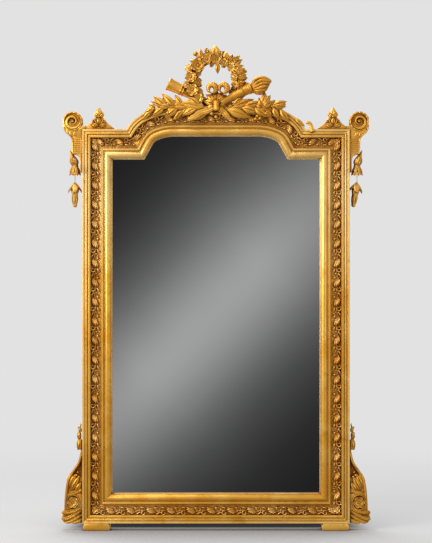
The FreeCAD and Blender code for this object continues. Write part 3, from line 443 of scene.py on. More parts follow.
@dataclass(frozen=True)
class Finishes:
    """Every finish of the mirror, mixed once."""

    gilding: Material
    carving: Material
    frieze: Material
    sight: Material
    edge: Material
    silver: Material
    level_pine: Material
    pale_pine: Material
    upright_pine: Material
    iron: Material
    wire: Material

    @classmethod
    def mixed(cls) -> "Finishes":
        """Mixes the finishes.

        Returns:
            All of them as materials.
        """
        return cls(
            gilding=Gilding(
                "gilding", (0.89, 0.51, 0.100), (0.71, 0.35, 0.040), (0.28, 0.090, 0.002)).mix(),
            carving=Gilding(
                "carved_gilding", (0.89, 0.480, 0.080), (0.65, 0.300, 0.030), (0.18, 0.042, 0.0),
                reach=0.026, hollow_start=0.42, hollow_end=0.98, wear=0.22, fading=0.15).mix(),
            frieze=Gilding(
                "frieze_gilding", (0.99, 0.59, 0.17), (0.84, 0.41, 0.065), (0.23, 0.064, 0.001),
                reach=0.018, hollow_start=0.34, hollow_end=0.93, sheen=0.34, wear=0.5,
                fading=0.25).mix(),
            sight=Gilding(
                "worn_sight", (0.82, 0.66, 0.44), (0.64, 0.46, 0.26), (0.30, 0.16, 0.06),
                rubbed=(0.90, 0.80, 0.62), metal=0.25).mix(),
            edge=Gilding(
                "worn_edge", (0.92, 0.62, 0.22), (0.84, 0.48, 0.11), (0.30, 0.12, 0.02),
                rubbed=(0.93, 0.80, 0.56), metal=0.55, wear=0.9).mix(),
            silver=Silvering("silvering").mix(),
            level_pine=Softwood("pine_level", Grain.LEVEL).mix(),
            pale_pine=Softwood(
                "pine_pale", Grain.LEVEL, (0.40, 0.265, 0.155), (0.25, 0.15, 0.080)).mix(),
            upright_pine=Softwood("pine_upright", Grain.UPRIGHT).mix(),
            iron=OldMetal("black_iron", (0.10, 0.095, 0.09), (0.085, 0.040, 0.020)).mix(),
            wire=OldMetal("gilt_wire", (0.62, 0.50, 0.30), (0.36, 0.25, 0.11), 0.35).mix(),
        )


# Modelling


class Bench:
    """Modelling by operators: primitives are added, put on their forms, closed and joined."""

    @staticmethod
    def pick(*pieces: Piece) -> None:
        """Selects only these pieces, and makes the first one active.

        Args:
            pieces: The pieces to select.
        """
        bpy.ops.object.select_all(action="DESELECT")
        for piece in pieces:
            piece.select_set(True)
        bpy.context.view_layer.objects.active = pieces[0]

    @staticmethod
    def closed(piece: Piece) -> Piece:
        """Merges seams and poles, fills open ends and turns every face outwards.

        Args:
            piece: The piece to close.

        Returns:
            The same piece.
        """
        Bench.pick(piece)
        bpy.ops.object.mode_set(mode="EDIT")
        bpy.ops.mesh.select_all(action="SELECT")
        bpy.ops.mesh.remove_doubles(threshold=MERGE_DISTANCE)
        bpy.ops.mesh.dissolve_degenerate(threshold=MERGE_DISTANCE)
        bpy.ops.mesh.select_all(action="SELECT")
        bpy.ops.mesh.delete_loose()
        bpy.ops.mesh.select_all(action="SELECT")
        bpy.ops.mesh.fill_holes(sides=0)
        bpy.ops.mesh.normals_make_consistent(inside=False)
        bpy.ops.object.mode_set(mode="OBJECT")
        return piece

    @staticmethod
    def rounded(piece: Piece, width: float) -> Piece:
        """Eases a piece's sharp edges.

        Args:
            piece: The piece to ease.
            width: How far the edges are cut back.

        Returns:
            The same piece.
        """
        Bench.pick(piece)
        bevel = piece.modifiers.new("easing", "BEVEL")
        bevel.width, bevel.segments = width, 2
        bevel.limit_method, bevel.angle_limit = "ANGLE", math.radians(ARRIS_DEGREES)
        bpy.ops.object.modifier_apply(modifier=bevel.name)
        return Bench.closed(piece)

    @staticmethod
    def smoothed(piece: Piece, degrees: float = ARRIS_DEGREES) -> Piece:
        """Shades a piece smooth except across its sharp edges.

        Args:
            piece: The piece to shade.
            degrees: Angle from which an edge is sharp.

        Returns:
            The same piece.
        """
        Bench.pick(piece)
        bpy.ops.object.shade_smooth_by_angle(angle=math.radians(degrees))
        return piece

    @staticmethod
    def skin(surface: Surface, columns: int, rows: int) -> Piece:
        """Grid whose points are put on a surface, closed where its edges meet.

        Args:
            surface: Gives the point for two shares from 0 to 1.
            columns: Faces along the first share.
            rows: Faces along the second share.

        Returns:
            The new piece.
        """
        bpy.ops.mesh.primitive_grid_add(x_subdivisions=columns, y_subdivisions=rows, size=2.0)
        piece = bpy.context.object
        for vertex in piece.data.vertices:
            vertex.co = surface((vertex.co.x + 1.0) / 2.0, (vertex.co.y + 1.0) / 2.0)
        return Bench.closed(piece)

    @staticmethod
    def tube(
        spine: Sequence[Vector], sizes: Sequence[Pair], columns: int, sides: int,
        out: Vector = FORWARD, flutes: int = 0, depth: float = 0.0,
    ) -> Piece:
        """Closed bar along a smooth line.

        Args:
            spine: Points that the bar's middle goes through.
            sizes: Half width and half height at each spine point, in millimetres.
            columns: Faces along the bar.
            sides: Faces round the bar.
            out: Direction that the bar's height points in.
            flutes: Hollows round the bar.
            depth: Depth of the hollows as a share of the bar's size.

        Returns:
            The new piece.
        """
        spread = [mm(wide, high, 0.0) for wide, high in sizes]
        near = 0.01

        def surface(first: float, second: float) -> Vector:
            """Point of the bar's skin.

            Args:
                first: How far along the bar, from 0 to 1.
                second: How far round it, from 0 to 1.

            Returns:
                The point.
            """
            heading = along(spine, min(first + near, 1.0)) - along(spine, max(first - near, 0.0))
            aside = heading.cross(out).normalized()
            rise = aside.cross(heading).normalized()
            size = along(spread, first)
            angle = math.tau * (second % 1.0)
            share = 1.0 - depth * (0.5 + 0.5 * math.cos(flutes * angle))
            aside *= max(size.x, 0.0) * math.cos(angle)
            rise *= max(size.y, 0.0) * math.sin(angle)
            return along(spine, first) + (aside + rise) * share

        return Bench.skin(surface, columns, sides)

    @staticmethod
    def turning(
        outline: Sequence[Pair], foot: Vector, heading: Vector, sides: int, rows: int = 0,
        lobes: int = 0, depth: float = 0.0,
    ) -> Piece:
        """Turned piece, with lobes cut round it where asked.

        Args:
            outline: Radius and height pairs from foot to head, in millimetres.
            foot: Where height 0 is.
            heading: Direction of the axis.
            sides: Faces round the axis.
            rows: Faces along a smoothed outline, or 0 to keep the outline's own corners.
            lobes: Lobes round the axis.
            depth: Depth of the cuts between lobes, as a share of the radius.

        Returns:
            The new piece.
        """
        line = [mm(radius, 0.0, height) for radius, height in outline]
        if rows:
            line = [along(line, row / rows) for row in range(rows + 1)]
        bpy.ops.mesh.primitive_circle_add(vertices=len(line), radius=1.0, fill_type="NOTHING")
        piece = bpy.context.object
        for vertex, point in zip(piece.data.vertices, line):
            vertex.co = Vector((max(point.x, 0.0), 0.0, point.z))
        bpy.ops.object.mode_set(mode="EDIT")
        bpy.ops.mesh.select_all(action="SELECT")
        bpy.ops.mesh.spin(steps=sides, angle=math.tau, center=(0.0, 0.0, 0.0), axis=UP)
        bpy.ops.object.mode_set(mode="OBJECT")
        Bench.closed(piece)
        turn = UP.rotation_difference(heading.normalized()).to_matrix()
        for vertex in piece.data.vertices:
            across, back, up = vertex.co
            cut = 1.0 - depth * abs(math.sin(lobes * math.atan2(back, across) / 2.0))
            vertex.co = foot + turn @ Vector((across * cut, back * cut, up))
        return piece

    @staticmethod
    def slab(outline: Sequence[Vector], front: float, back: float, easing: float) -> Piece:
        """Front-view outline cut from a board.

        Args:
            outline: Points in order round the piece, at any depth.
            front: Depth of the front face.
            back: Depth of the back face.
            easing: How far the arrises are eased.

        Returns:
            The new piece.
        """
        bpy.ops.mesh.primitive_circle_add(vertices=len(outline), radius=1.0, fill_type="NGON")
        piece = bpy.context.object
        for vertex, point in zip(piece.data.vertices, outline):
            vertex.co = Vector((point.x, front, point.z))
        move = {"value": (0.0, back - front, 0.0)}
        bpy.ops.object.mode_set(mode="EDIT")
        bpy.ops.mesh.select_all(action="SELECT")
        bpy.ops.mesh.extrude_region_move(TRANSFORM_OT_translate=move)
        bpy.ops.object.mode_set(mode="OBJECT")
        return Bench.rounded(Bench.closed(piece), easing)

    @staticmethod
    def berry(centre: Vector, *radii: float) -> Piece:
        """Berry with a small dimple in front.

        Args:
            centre: The berry's middle.
            radii: One radius, or one along each axis, in millimetres.

        Returns:
            The new piece.
        """
        bpy.ops.mesh.primitive_ico_sphere_add(subdivisions=2, radius=1.0)
        size = Matrix.Diagonal(mm(*(radii * 3)[:3]))
        for vertex in bpy.context.object.data.vertices:
            dimple = 1.0 - 0.14 * smooth_step(0.86, 1.0, -vertex.co.y)
            vertex.co = centre + size @ (vertex.co * dimple)
        return bpy.context.object

    @staticmethod
    def copied(piece: Piece, place: Matrix) -> Piece:
        """Copies a piece with its own mesh to another place.

        Args:
            piece: The piece to copy.
            place: Where the copy goes, from where the piece is.

        Returns:
            The copy.
        """
        mesh = piece.data.copy()
        mesh.transform(place)
        if place.determinant() < 0.0:
            mesh.flip_normals()
        copy = bpy.data.objects.new(piece.name, mesh)
        bpy.context.scene.collection.objects.link(copy)
        return copy

    @staticmethod
    def joined(pieces: Sequence[Piece], degrees: float = ARRIS_DEGREES) -> Piece:
        """Makes one piece of several, shaded smooth.

        Args:
            pieces: The pieces, of which the first one takes in the others.
            degrees: Angle from which an edge is sharp.

        Returns:
            The joined piece.
        """
        Bench.pick(*pieces)
        bpy.ops.object.join()
        return Bench.smoothed(bpy.context.object, degrees)

    @staticmethod
    def discard(pieces: Iterable[Piece]) -> None:
        """Clears patterns that were only copied from."""
        for piece in pieces:
            bpy.data.objects.remove(piece)


@dataclass(frozen=True)
class LeafCut:
    """How a leaf is carved, in shares of its length, width and rise."""

    belly: float = 0.45
    fullness: float = 0.9
    arch: float = 0.55
    droop: float = 0.35
    cup: float = 0.34
    rib: float = 0.26
    veins: int = 5
    vein_depth: float = 0.03
    lobes: int = 0
    lobe_depth: float = 0.0
    thickness: float = 0.40
    sweep: float = 0.0
    columns: int = 14
    rows: int = 8

    def half_width(self, share: float) -> float:
        """Half the leaf's width at one place.

        Args:
            share: How far along the leaf, from 0 to 1.

        Returns:
            The half width, in shares of the leaf's width.
        """
        power = math.log(0.5) / math.log(self.belly)
        half = 0.5 * max(math.sin(math.pi * share ** power), 0.0) ** self.fullness
        notch = 0.5 + 0.5 * math.cos(math.tau * self.lobes * share)
        return max(half * (1.0 - self.lobe_depth * notch), 0.004)

    def carve(self) -> Piece:
        """Carves the leaf one unit long, wide and high.

        Returns:
            The leaf along +X, with its face to +Z.
        """

        def surface(first: float, second: float) -> Vector:
            """Point of the leaf's skin.

            Args:
                first: How far along the leaf, from 0 to 1.
                second: How far round it, from 0 to 1.

            Returns:
                The point.
            """
            face = second <= 0.5
            across = 4.0 * second - 1.0 if face else 3.0 - 4.0 * second
            vein = math.sin(math.tau * (self.veins * first - 0.55 * abs(across)))
            middle = math.sin(math.pi * first)
            height = (
                self.arch * math.sin(math.pi * first ** 0.8)
                - self.droop * first ** 3
                - self.cup * across ** 2
                - self.rib * math.exp(-((across / 0.18) ** 2)) * middle
                + self.vein_depth * vein * abs(across) * 1.6
            )
            if not face:
                height -= self.thickness * (1.0 - across ** 2)
            sweep = self.sweep * across ** 2 * middle
            return Vector((first + sweep, across * self.half_width(first), height))

        return Bench.skin(surface, self.columns, 2 * self.rows)


class Foliage:
    """The carver's patterns: leaves and flower heads that are copied into place."""

    def __init__(self) -> None:
        """Carves each pattern once."""
        self.laurel = LeafCut().carve()
        self.acanthus = LeafCut(
            belly=0.46, fullness=0.62, lobes=5, lobe_depth=0.36, vein_depth=0.14, arch=0.6,
            droop=0.4, sweep=0.10, columns=40, rows=10).carve()
        self.petal = LeafCut(
            belly=0.60, fullness=0.48, arch=0.45, droop=0.50, cup=-0.35, rib=0.10, veins=2,
            vein_depth=0.04, columns=7, rows=4).carve()
        self.rose = self.flower(((6, 1.0, 0.25), (5, 0.72, 0.55), (4, 0.46, 0.80)), 160)
        self.daisy = self.flower(((8, 1.0, 0.20), (6, 0.58, 0.60)), 240)
        self.patterns = [self.laurel, self.acanthus, self.petal, self.rose, self.daisy]

    def flower(self, rounds: Sequence[tuple[int, float, float]], eye: float) -> Piece:
        """Carves a flower head of radius one that faces +Z.

        Args:
            rounds: Petal count, reach and lift of each round of petals, outermost first.
            eye: Radius of the middle button, in thousandths of the flower's.

        Returns:
            The flower head.
        """
        button = ((0, 0), (1.3 * eye, 50), (1.2 * eye, 420), (0.7 * eye, 600), (0, 640))
        pieces = [Bench.turning(button, Vector(), UP, 12)]
        for ring, (count, reach, lift) in enumerate(rounds):
            width = 2.0 * reach * math.sin(math.pi / count) * 1.35
            lean = Matrix.Rotation(-lift * math.pi / 2.6, 4, "Y")
            size = Matrix.Diagonal((reach * (1.0 - 0.2 * lift), width, 0.34, 1.0))
            base = Matrix.Translation((0.04, 0.0, 0.10 + 0.05 * ring))
            for index in range(count):
                turn = Matrix.Rotation(math.tau * (index + 0.5 * ring) / count, 4, "Z")
                pieces.append(Bench.copied(self.petal, turn @ base @ lean @ size))
        return Bench.joined(pieces)

    def leaf(
        self, foot: Vector, tip: Vector, width: float, rise: float, face: Vector = FORWARD,
        pattern: Piece | None = None,
    ) -> Piece:
        """Copies a leaf between two points.

        Args:
            foot: Where the leaf starts.
            tip: Where the leaf ends.
            width: The leaf's width in millimetres.
            rise: The height of its carving in millimetres.
            face: Direction that its face looks in.
            pattern: The leaf to copy, laurel if none is given.

        Returns:
            The copy.
        """
        length = tip - foot
        forward = length.normalized()
        aside = face.cross(forward).normalized()
        outward = forward.cross(aside).normalized()
        axes = Matrix((forward, aside, outward)).transposed().to_4x4()
        size = Matrix.Diagonal((length.length, width * MM, rise * MM, 1.0))
        return Bench.copied(pattern or self.laurel, Matrix.Translation(foot) @ axes @ size)

    @staticmethod
    def bloom(pattern: Piece, centre: Vector, radius: float, face: Vector, spin: float) -> Piece:
        """Copies a flower head.

        Args:
            pattern: The flower to copy.
            centre: Where its middle goes.
            radius: Its radius in millimetres.
            face: Direction that it looks in.
            spin: Its turn about that direction, in radians.

        Returns:
            The copy.
        """
        turn = UP.rotation_difference(face.normalized()).to_matrix().to_4x4()
        spun = Matrix.Rotation(spin, 4, "Z") @ Matrix.Scale(radius * MM, 4)
        return Bench.copied(pattern, Matrix.Translation(centre) @ turn @ spun)


@dataclass(frozen=True)
class Datum:
    """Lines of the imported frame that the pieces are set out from, in metres."""

    side: float
    sight: float
    sight_foot: float
    foot_top: float
    shoulder_top: float
    crown_top: float
    back: float

    @classmethod
    def of_frame(cls) -> "Datum":
        """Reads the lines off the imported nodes.

        Returns:
            The lines.
        """
        low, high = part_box("left_stile_moulding")
        return cls(
            side=-low.x, sight=-high.x, sight_foot=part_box("bottom_rail_moulding")[1].z,
            foot_top=low.z, shoulder_top=high.z, crown_top=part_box("crown_moulding")[1].z,
            back=high.y,
        )


@dataclass
class Assembly:
    """One sub-assembly: what it is set out from, its finishes and its patterns."""

    datum: Datum
    finishes: Finishes
    foliage: Foliage

    def dressed(
        self, piece: Piece, name: str, nodes: Sequence[str], material: Material | None = None,
        slot: str = "gilded_wood",
    ) -> Piece:
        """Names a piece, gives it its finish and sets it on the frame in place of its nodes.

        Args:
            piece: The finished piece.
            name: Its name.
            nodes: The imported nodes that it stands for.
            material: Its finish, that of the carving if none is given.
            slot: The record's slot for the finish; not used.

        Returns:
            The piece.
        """
        piece.name = piece.data.name = name
        piece.data.materials.clear()
        piece.data.materials.append(material or self.finishes.carving)
        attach(piece, FRAME_BODY)
        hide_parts(*nodes)
        return piece

    def pair(self, part: str, left: Piece, material: Material | None = None) -> list[Piece]:
        """Dresses a left piece and its copy on the right, each in place of its own node.

        Args:
            part: What the piece is, as its node's name says after the side.
            left: The left piece.
            material: Their finish, that of the carving if none is given.

        Returns:
            The left piece and the right one.
        """
        twins = zip(("left", "right"), (left, Bench.copied(left, MIRRORED)))
        return [
            self.dressed(piece, f"{word}_carved_{part}", [f"{word}_{part}"], material)
            for word, piece in twins
        ]


# Frame


@dataclass(frozen=True)
class Stretch:
    """Straight or bent length of a run, on the sight line."""

    start: Vector
    angle: float
    length: float
    radius: float = 0.0

    def outward(self, turned: float = 0.0) -> Vector:
        """Direction away from the glass, once the stretch has turned by an angle."""
        return front_ray(self.angle - turned + math.pi / 2.0)

    def place(self, distance: float, out: float) -> Vector:
        """Point of the stretch in front view.

        Args:
            distance: Distance along the sight line.
            out: Distance out from it.

        Returns:
            The point, with no depth.
        """
        if self.radius:
            centre = self.start - self.outward() * self.radius
            return centre + self.outward(distance / self.radius) * (self.radius + out)
        return self.start + front_ray(self.angle) * distance + self.outward() * out

    def length_at(self, out: float) -> float:
        """Length of the stretch on a line out from the sight line."""
        return self.length * (self.radius + out) / self.radius if self.radius else self.length


@dataclass(frozen=True)
class Run:
    """One mitred length of the frame: its stretches and the slope of its two mitres."""

    name: str
    stretches: Sequence[Stretch]
    start_mitre: float = 1.0
    end_mitre: float = 1.0

    @property
    def paired(self) -> bool:
        """Whether the run has a twin on the right."""
        return self.name.startswith("left_")

    def nodes(self, kind: str) -> list[str]:
        """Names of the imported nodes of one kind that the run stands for."""
        parts = ("left_haunch", "crown", "right_haunch") if self.name == "arch" else (self.name,)
        return [f"{part}_{kind}" for part in parts]

    def stations(self, out: float, bends: int) -> list[Vector]:
        """Points along the run on a line out from the sight line, closer in its bends.

        Args:
            out: Distance out from the sight line.
            bends: Steps in each bend.

        Returns:
            The points, from the first mitre to the last.
        """
        points = []
        for stretch in self.stretches:
            last = stretch is self.stretches[-1]
            low = -out * self.start_mitre if stretch is self.stretches[0] else 0.0
            high = stretch.length + (out * self.end_mitre if last else 0.0)
            steps = bends if stretch.radius else 2
            for step in range(steps + last):
                points.append(stretch.place(low + (high - low) * step / steps, out))
        return points

    def span(self, out: float) -> float:
        """Length of the run on a line out from the sight line."""
        total = sum(stretch.length_at(out) for stretch in self.stretches)
        return total + out * (self.start_mitre + self.end_mitre)

    def at(self, distance: float, line: float, out: float) -> Vector:
        """Point of the run in front view.

        Args:
            distance: Distance along a line out from the sight line, from the first mitre.
            line: How far out that line is.
            out: How far out the point is.

        Returns:
            The point, with no depth.
        """
        rest = distance - line * self.start_mitre
        for stretch in self.stretches:
            length = stretch.length_at(line)
            if rest <= length or stretch is self.stretches[-1]:
                return stretch.place(rest * stretch.length / length, out)
            rest -= length


@dataclass(frozen=True)
class Arch:
    """Setting-out of the arched head, from the shoulder's corner to the level crown."""

    corner_out: float = 0.2645
    ramp: float = math.radians(61.0)
    ramp_length: float = 0.06647
    knuckle_end: float = math.radians(26.0)
    knuckle_radius: float = 0.030
    haunch_radius: float = 0.146

    def runs(self, datum: Datum) -> list[Run]:
        """Sets out the left runs, the bottom rail and the arch.

        Args:
            datum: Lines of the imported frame.

        Returns:
            The runs by the names of their places.
        """
        sight, low = datum.sight, datum.sight_foot
        high = datum.shoulder_top - (datum.side - sight)
        knuckle = self.knuckle_radius * (self.ramp - self.knuckle_end)
        haunch = self.haunch_radius * self.knuckle_end
        arch, start = [], Vector((-self.corner_out, 0.0, high))
        for angle, length, radius in (
            (self.ramp, self.ramp_length, 0.0), (self.ramp, knuckle, self.knuckle_radius),
            (self.knuckle_end, haunch, self.haunch_radius), (0.0, None, 0.0),
            (0.0, haunch, self.haunch_radius), (-self.knuckle_end, knuckle, self.knuckle_radius),
            (-self.ramp, self.ramp_length, 0.0),
        ):
            arch.append(Stretch(start, angle, length or -2.0 * start.x, radius))
            start = arch[-1].place(arch[-1].length, 0.0)
        inward = -math.tan(self.ramp / 2.0)
        stile = Stretch(Vector((-sight, 0.0, low)), math.pi / 2.0, high - low)
        rail = Stretch(Vector((sight, 0.0, low)), math.pi, 2.0 * sight)
        shoulder = Stretch(Vector((-sight, 0.0, high)), 0.0, sight - self.corner_out)
        return [
            Run("left_stile", [stile]), Run("bottom_rail", [rail]),
            Run("left_shoulder", [shoulder], 1.0, inward), Run("arch", arch, inward, inward),
        ]


@dataclass
class MouldedFrame(Assembly):
    """The eight mitred mouldings round the plate."""

    easing: float = 0.0007
    bend_steps: int = 14
    smooth_degrees: float = 30.0
    sight_depth: float = 0.0104
    edge_depth: float = 0.033
    bed_depth: float = 0.013
    flat: float = 0.0006

    @staticmethod
    def section() -> list[Pair]:
        """Sets out the moulding's section.

        Returns:
            Points out and forward of the sight edge's back, in millimetres.
        """
        return [
            (2.5, 0), (2.5, 10), (6.5, 10), *bend((6.5, 11), (21, 29.5), (30, 23), 14),
            (33, 22), (34, 22), (34, 27), (41, 27), (41, 23),
            *bend((41, 23), (43, 16), (47, 13.4), 6),
            *bend((47, 13.4), (48.6, 15.6), (50.2, 13), 6),
            (82, 13), (82, 34), (90, 34), (90, 30.6), (93.6, 30.6),
            *bend((93.6, 30.6), (96.5, 35.6), (99.6, 31), 8),
            *bend((99.6, 31), (102.6, 30.6), (105.5, 33), 5), (112, 33), (112, 0),
        ]

    def length(self, run: Run) -> Piece:
        """Works one run of moulding.

        Args:
            run: The run to follow.

        Returns:
            The moulding, closed at its mitres.
        """
        section = self.section()
        lines = [run.stations(out * MM, self.bend_steps) for out, _ in section]
        rows, columns = len(section), len(lines[0]) - 1

        def surface(first: float, second: float) -> Vector:
            """Point of the moulding's skin.

            Args:
                first: How far along the run, from 0 to 1.
                second: How far round the section, from 0 to 1.

            Returns:
                The point.
            """
            index = round(second * rows) % rows
            point = lines[index][round(first * columns)]
            return Vector((point.x, self.datum.back - section[index][1] * MM, point.z))

        piece = Bench.rounded(Bench.skin(surface, columns, rows), self.easing)
        return Bench.smoothed(piece, self.smooth_degrees)

    def worn(self, piece: Piece) -> None:
        """Gives the sight edge, the outer edge and the frieze's bed their own finishes.

        Args:
            piece: The dressed moulding.
        """
        for coat in (self.finishes.sight, self.finishes.edge, self.finishes.frieze):
            piece.data.materials.append(coat)
        for face in piece.data.polygons:
            forward, facing = self.datum.back - face.center.y, -face.normal.y
            if MM < forward < self.sight_depth and abs(facing) > 0.3:
                face.material_index = 1
            elif abs(forward - self.edge_depth) < self.flat and facing > 0.5:
                face.material_index = 2
            elif abs(forward - self.bed_depth) < self.flat and facing > 0.9:
                face.material_index = 3

    def build(self) -> list[Piece]:
        """Works the left runs, the rail and the arch, and copies the left ones to the right.

        Returns:
            The mouldings.
        """
        pieces, gilding = [], self.finishes.gilding
        for run in Arch().runs(self.datum):
            piece = self.length(run)
            if run.paired:
                part = run.name.removeprefix("left_")
                pieces += self.pair(f"{part}_moulding", piece, gilding)
            else:
                name = f"{run.name}_carved_moulding"
                pieces.append(self.dressed(piece, name, run.nodes("moulding"), gilding))
        for piece in pieces:
            self.worn(piece)
        return pieces


@dataclass
class CarvedFrieze(Assembly):
    """The running leaf carved in the frieze: one repeat, copied round the frame.

    Its tables are in millimetres along, out and forward.
    """

    middle: float = 0.066
    bed: float = 0.013
    pitch: float = 0.0718
    overrun: float = 0.004
    smooth_degrees: float = 60.0
    fans: tuple[Row, ...] = (
        (17, 13, 8), (25, 9.5, 10), (31.5, 4, 11), (35.5, -3, 10.5), (35, -10, 8))
    fan_sizes: tuple[Pair, ...] = ((1.2, 1.2), (2.3, 2.8), (2.7, 3.4), (0.5, 0.9))
    curl: tuple[Row, ...] = (
        (-2.6, 11, 4), (-1.3, 8.4, 8), (0, 7.2, 10.5), (1.2, 6.6, 11.5), (2.4, 6, 11),
        (3.6, 5, 9.5), (4.8, 3.4, 7))
    curl_sizes: tuple[Pair, ...] = (
        (0.8, 1.5), (2, 3), (2.3, 3.4), (2.2, 3.4), (1.9, 3), (1.6, 2.4), (0.7, 1))
    sprigs: tuple[tuple[tuple[Row, ...], tuple[Pair, ...]], ...] = (
        (((37, -4, 4), (41, -10, 8), (48, -12, 9), (53, -8.5, 5)),
         ((0.8, 1.2), (2.2, 3), (2, 2.8), (0.4, 0.6))),
        (((34, 0, 3), (44, -2.6, 5.5), (56, 0.2, 6), (71, 3, 3.5)),
         ((1.6, 2), (1.8, 2.8), (1.8, 2.8), (1.3, 1.6))),
        (((54, 1, 4), (61, 9, 8), (66, 13, 8), (73, 14, 3)),
         ((1, 1), (2.3, 3), (2.1, 2.6), (0.4, 0.6))),
    )
    buds: tuple[Row, ...] = (
        (71.8, -10, 6, 5, 3.8, 5), (55, 7, 6.5, 3, 3.2, 4.4), (56, -5, 6, 3, 3, 4.2),
        (63, -11.5, 4, 3.2, 2.4, 3.4))

    def repeat(self) -> Piece:
        """Carves one repeat.

        Returns:
            The repeat along +X, with +Y outwards and +Z to the front.
        """
        blades = []
        for index, (tip, out, high) in enumerate(self.fans):
            foot = 5.5 - 3.4 * index
            blades.append((10, self.fan_sizes, (
                (2 * index - 1, foot, 2), (0.45 * tip + 1, 0.4 * (foot + out) + 1, 0.85 * high),
                (0.8 * tip, 0.25 * foot + 0.72 * out, high), (tip, out, 0.25 * high))))
        blades.append((22, self.curl_sizes, [
            (43 + reach * math.cos(angle), 8.2 + reach * math.sin(angle), high)
            for angle, reach, high in self.curl]))
        blades += [(10, sizes, spine) for spine, sizes in self.sprigs]
        pieces = [
            Bench.tube([mm(*point) for point in spine], sizes, columns, 8, UP)
            for columns, sizes, spine in blades]
        pieces += [Bench.berry(mm(*bud[:3]), *bud[3:]) for bud in self.buds]
        return Bench.joined(pieces, self.smooth_degrees)

    def corner(self, place: Vector) -> Piece:
        """Carves the leaf that covers the mitre of the carving at a left corner.

        Args:
            place: The corner of the carving's middle line, at any depth.

        Returns:
            The leaf.
        """
        place = Vector((place.x, self.datum.back - self.bed - 0.004, place.z))
        inward = Vector((1.0, 0.0, math.copysign(1.0, 0.8 - place.z))).normalized()
        foot = place - inward * 0.021 + FORWARD * 0.003
        return self.foliage.leaf(
            foot, place + inward * 0.020, 26, 13, pattern=self.foliage.acanthus)

    def strip(self, run: Run, repeat: Piece, turned: bool) -> list[Piece]:
        """Lays the repeat along a run.

        Args:
            run: The run to follow.
            repeat: The carved repeat.
            turned: Whether the leaf grows from the run's far end.

        Returns:
            The copies of the repeat.
        """
        span = run.span(self.middle)
        count = max(round(span / self.pitch), 1)
        stretch = span / (count * self.pitch)
        pieces = []
        for index in range(count):
            copy = Bench.copied(repeat, Matrix())
            for vertex in copy.data.vertices:
                distance = (index * self.pitch + vertex.co.x) * stretch
                distance = span - distance if turned else distance
                distance = min(max(distance, -self.overrun), span + self.overrun)
                point = run.at(distance, self.middle, self.middle + vertex.co.y)
                point.y = self.datum.back - self.bed - vertex.co.z
                vertex.co = point
            if turned:
                copy.data.flip_normals()
            pieces.append(copy)
        return pieces

    def build(self) -> list[Piece]:
        """Carves the repeat and lays it along every run.

        Returns:
            The strips of carving.
        """
        repeat = self.repeat()
        reach = self.datum.sight + self.middle
        foot = self.datum.sight_foot - self.middle
        head = self.datum.shoulder_top - (self.datum.side - reach)
        dressed = []
        for run in Arch().runs(self.datum):
            stile = run.name == "left_stile"
            pieces = self.strip(run, repeat, stile)
            if stile:
                pieces += [self.corner(Vector((-reach, 0.0, up))) for up in (foot, head)]
            strips = {run.name: Bench.joined(pieces, self.smooth_degrees)}
            if run.paired:
                right = run.name.replace("left_", "right_")
                strips[right] = Bench.copied(strips[run.name], MIRRORED)
            for name, piece in strips.items():
                nodes = run.nodes("frieze") if name == run.name else [f"{name}_frieze"]
                dressed.append(self.dressed(
                    piece, f"{name}_carved_frieze", nodes, self.finishes.frieze, "gilded_frieze"))
        Bench.discard([repeat])
        return dressed


@dataclass
class PlateAndBack(Assembly):
    """The mirror plate, chassis, boards and iron hardware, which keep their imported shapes."""

    def coat(self, name: str) -> Material | None:
        """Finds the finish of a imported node.

        Args:
            name: The node's name.

        Returns:
            The finish, or none if a carved piece stands for the node.
        """
        coats = self.finishes
        if name == "mirror_plate":
            return coats.silver
        if name == "drop_wires":
            return coats.wire
        if "strap" in name or "ring" in name or name == "backboard_screws":
            return coats.iron
        if name.startswith("backboard_"):
            return coats.pale_pine if name[-1] in "24" else coats.level_pine
        if name in ("chassis_bottom_rail", "chassis_top_rail", "crest_backing"):
            return coats.level_pine
        if name.startswith("chassis_") or name in ("glass_wedges", "crest_dowels"):
            return coats.upright_pine
        return None

    def build(self) -> list[Piece]:
        """Gives each kept node its finish.

        Returns:
            The kept nodes.
        """
        kept = []
        for name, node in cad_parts.items():
            coat = self.coat(name)
            if coat:
                node.data.materials.clear()
                node.data.materials.append(coat)
                kept.append(node)
        return kept


# Side ornaments


@dataclass
class Feet(Assembly):
    """The two block feet."""

    easing: float = 0.0022
    step: float = 0.0035
    step_top: float = 0.006
    step_foot: float = 0.008

    def build(self) -> list[Piece]:
        """Cuts the left foot with a small step under its top, and copies it.

        Returns:
            The feet.
        """
        low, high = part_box("left_foot")
        edge = ((self.step, 0.0), (self.step, self.step_top), (0.0, self.step_foot),
                (0.0, high.z - low.z))
        outline = [Vector((low.x + inset, 0.0, high.z - fall)) for inset, fall in edge]
        outline += [Vector((high.x - inset, 0.0, high.z - fall)) for inset, fall in edge[::-1]]
        left = Bench.smoothed(Bench.slab(outline, low.y, high.y, self.easing))
        return self.pair("foot", left, self.finishes.gilding)


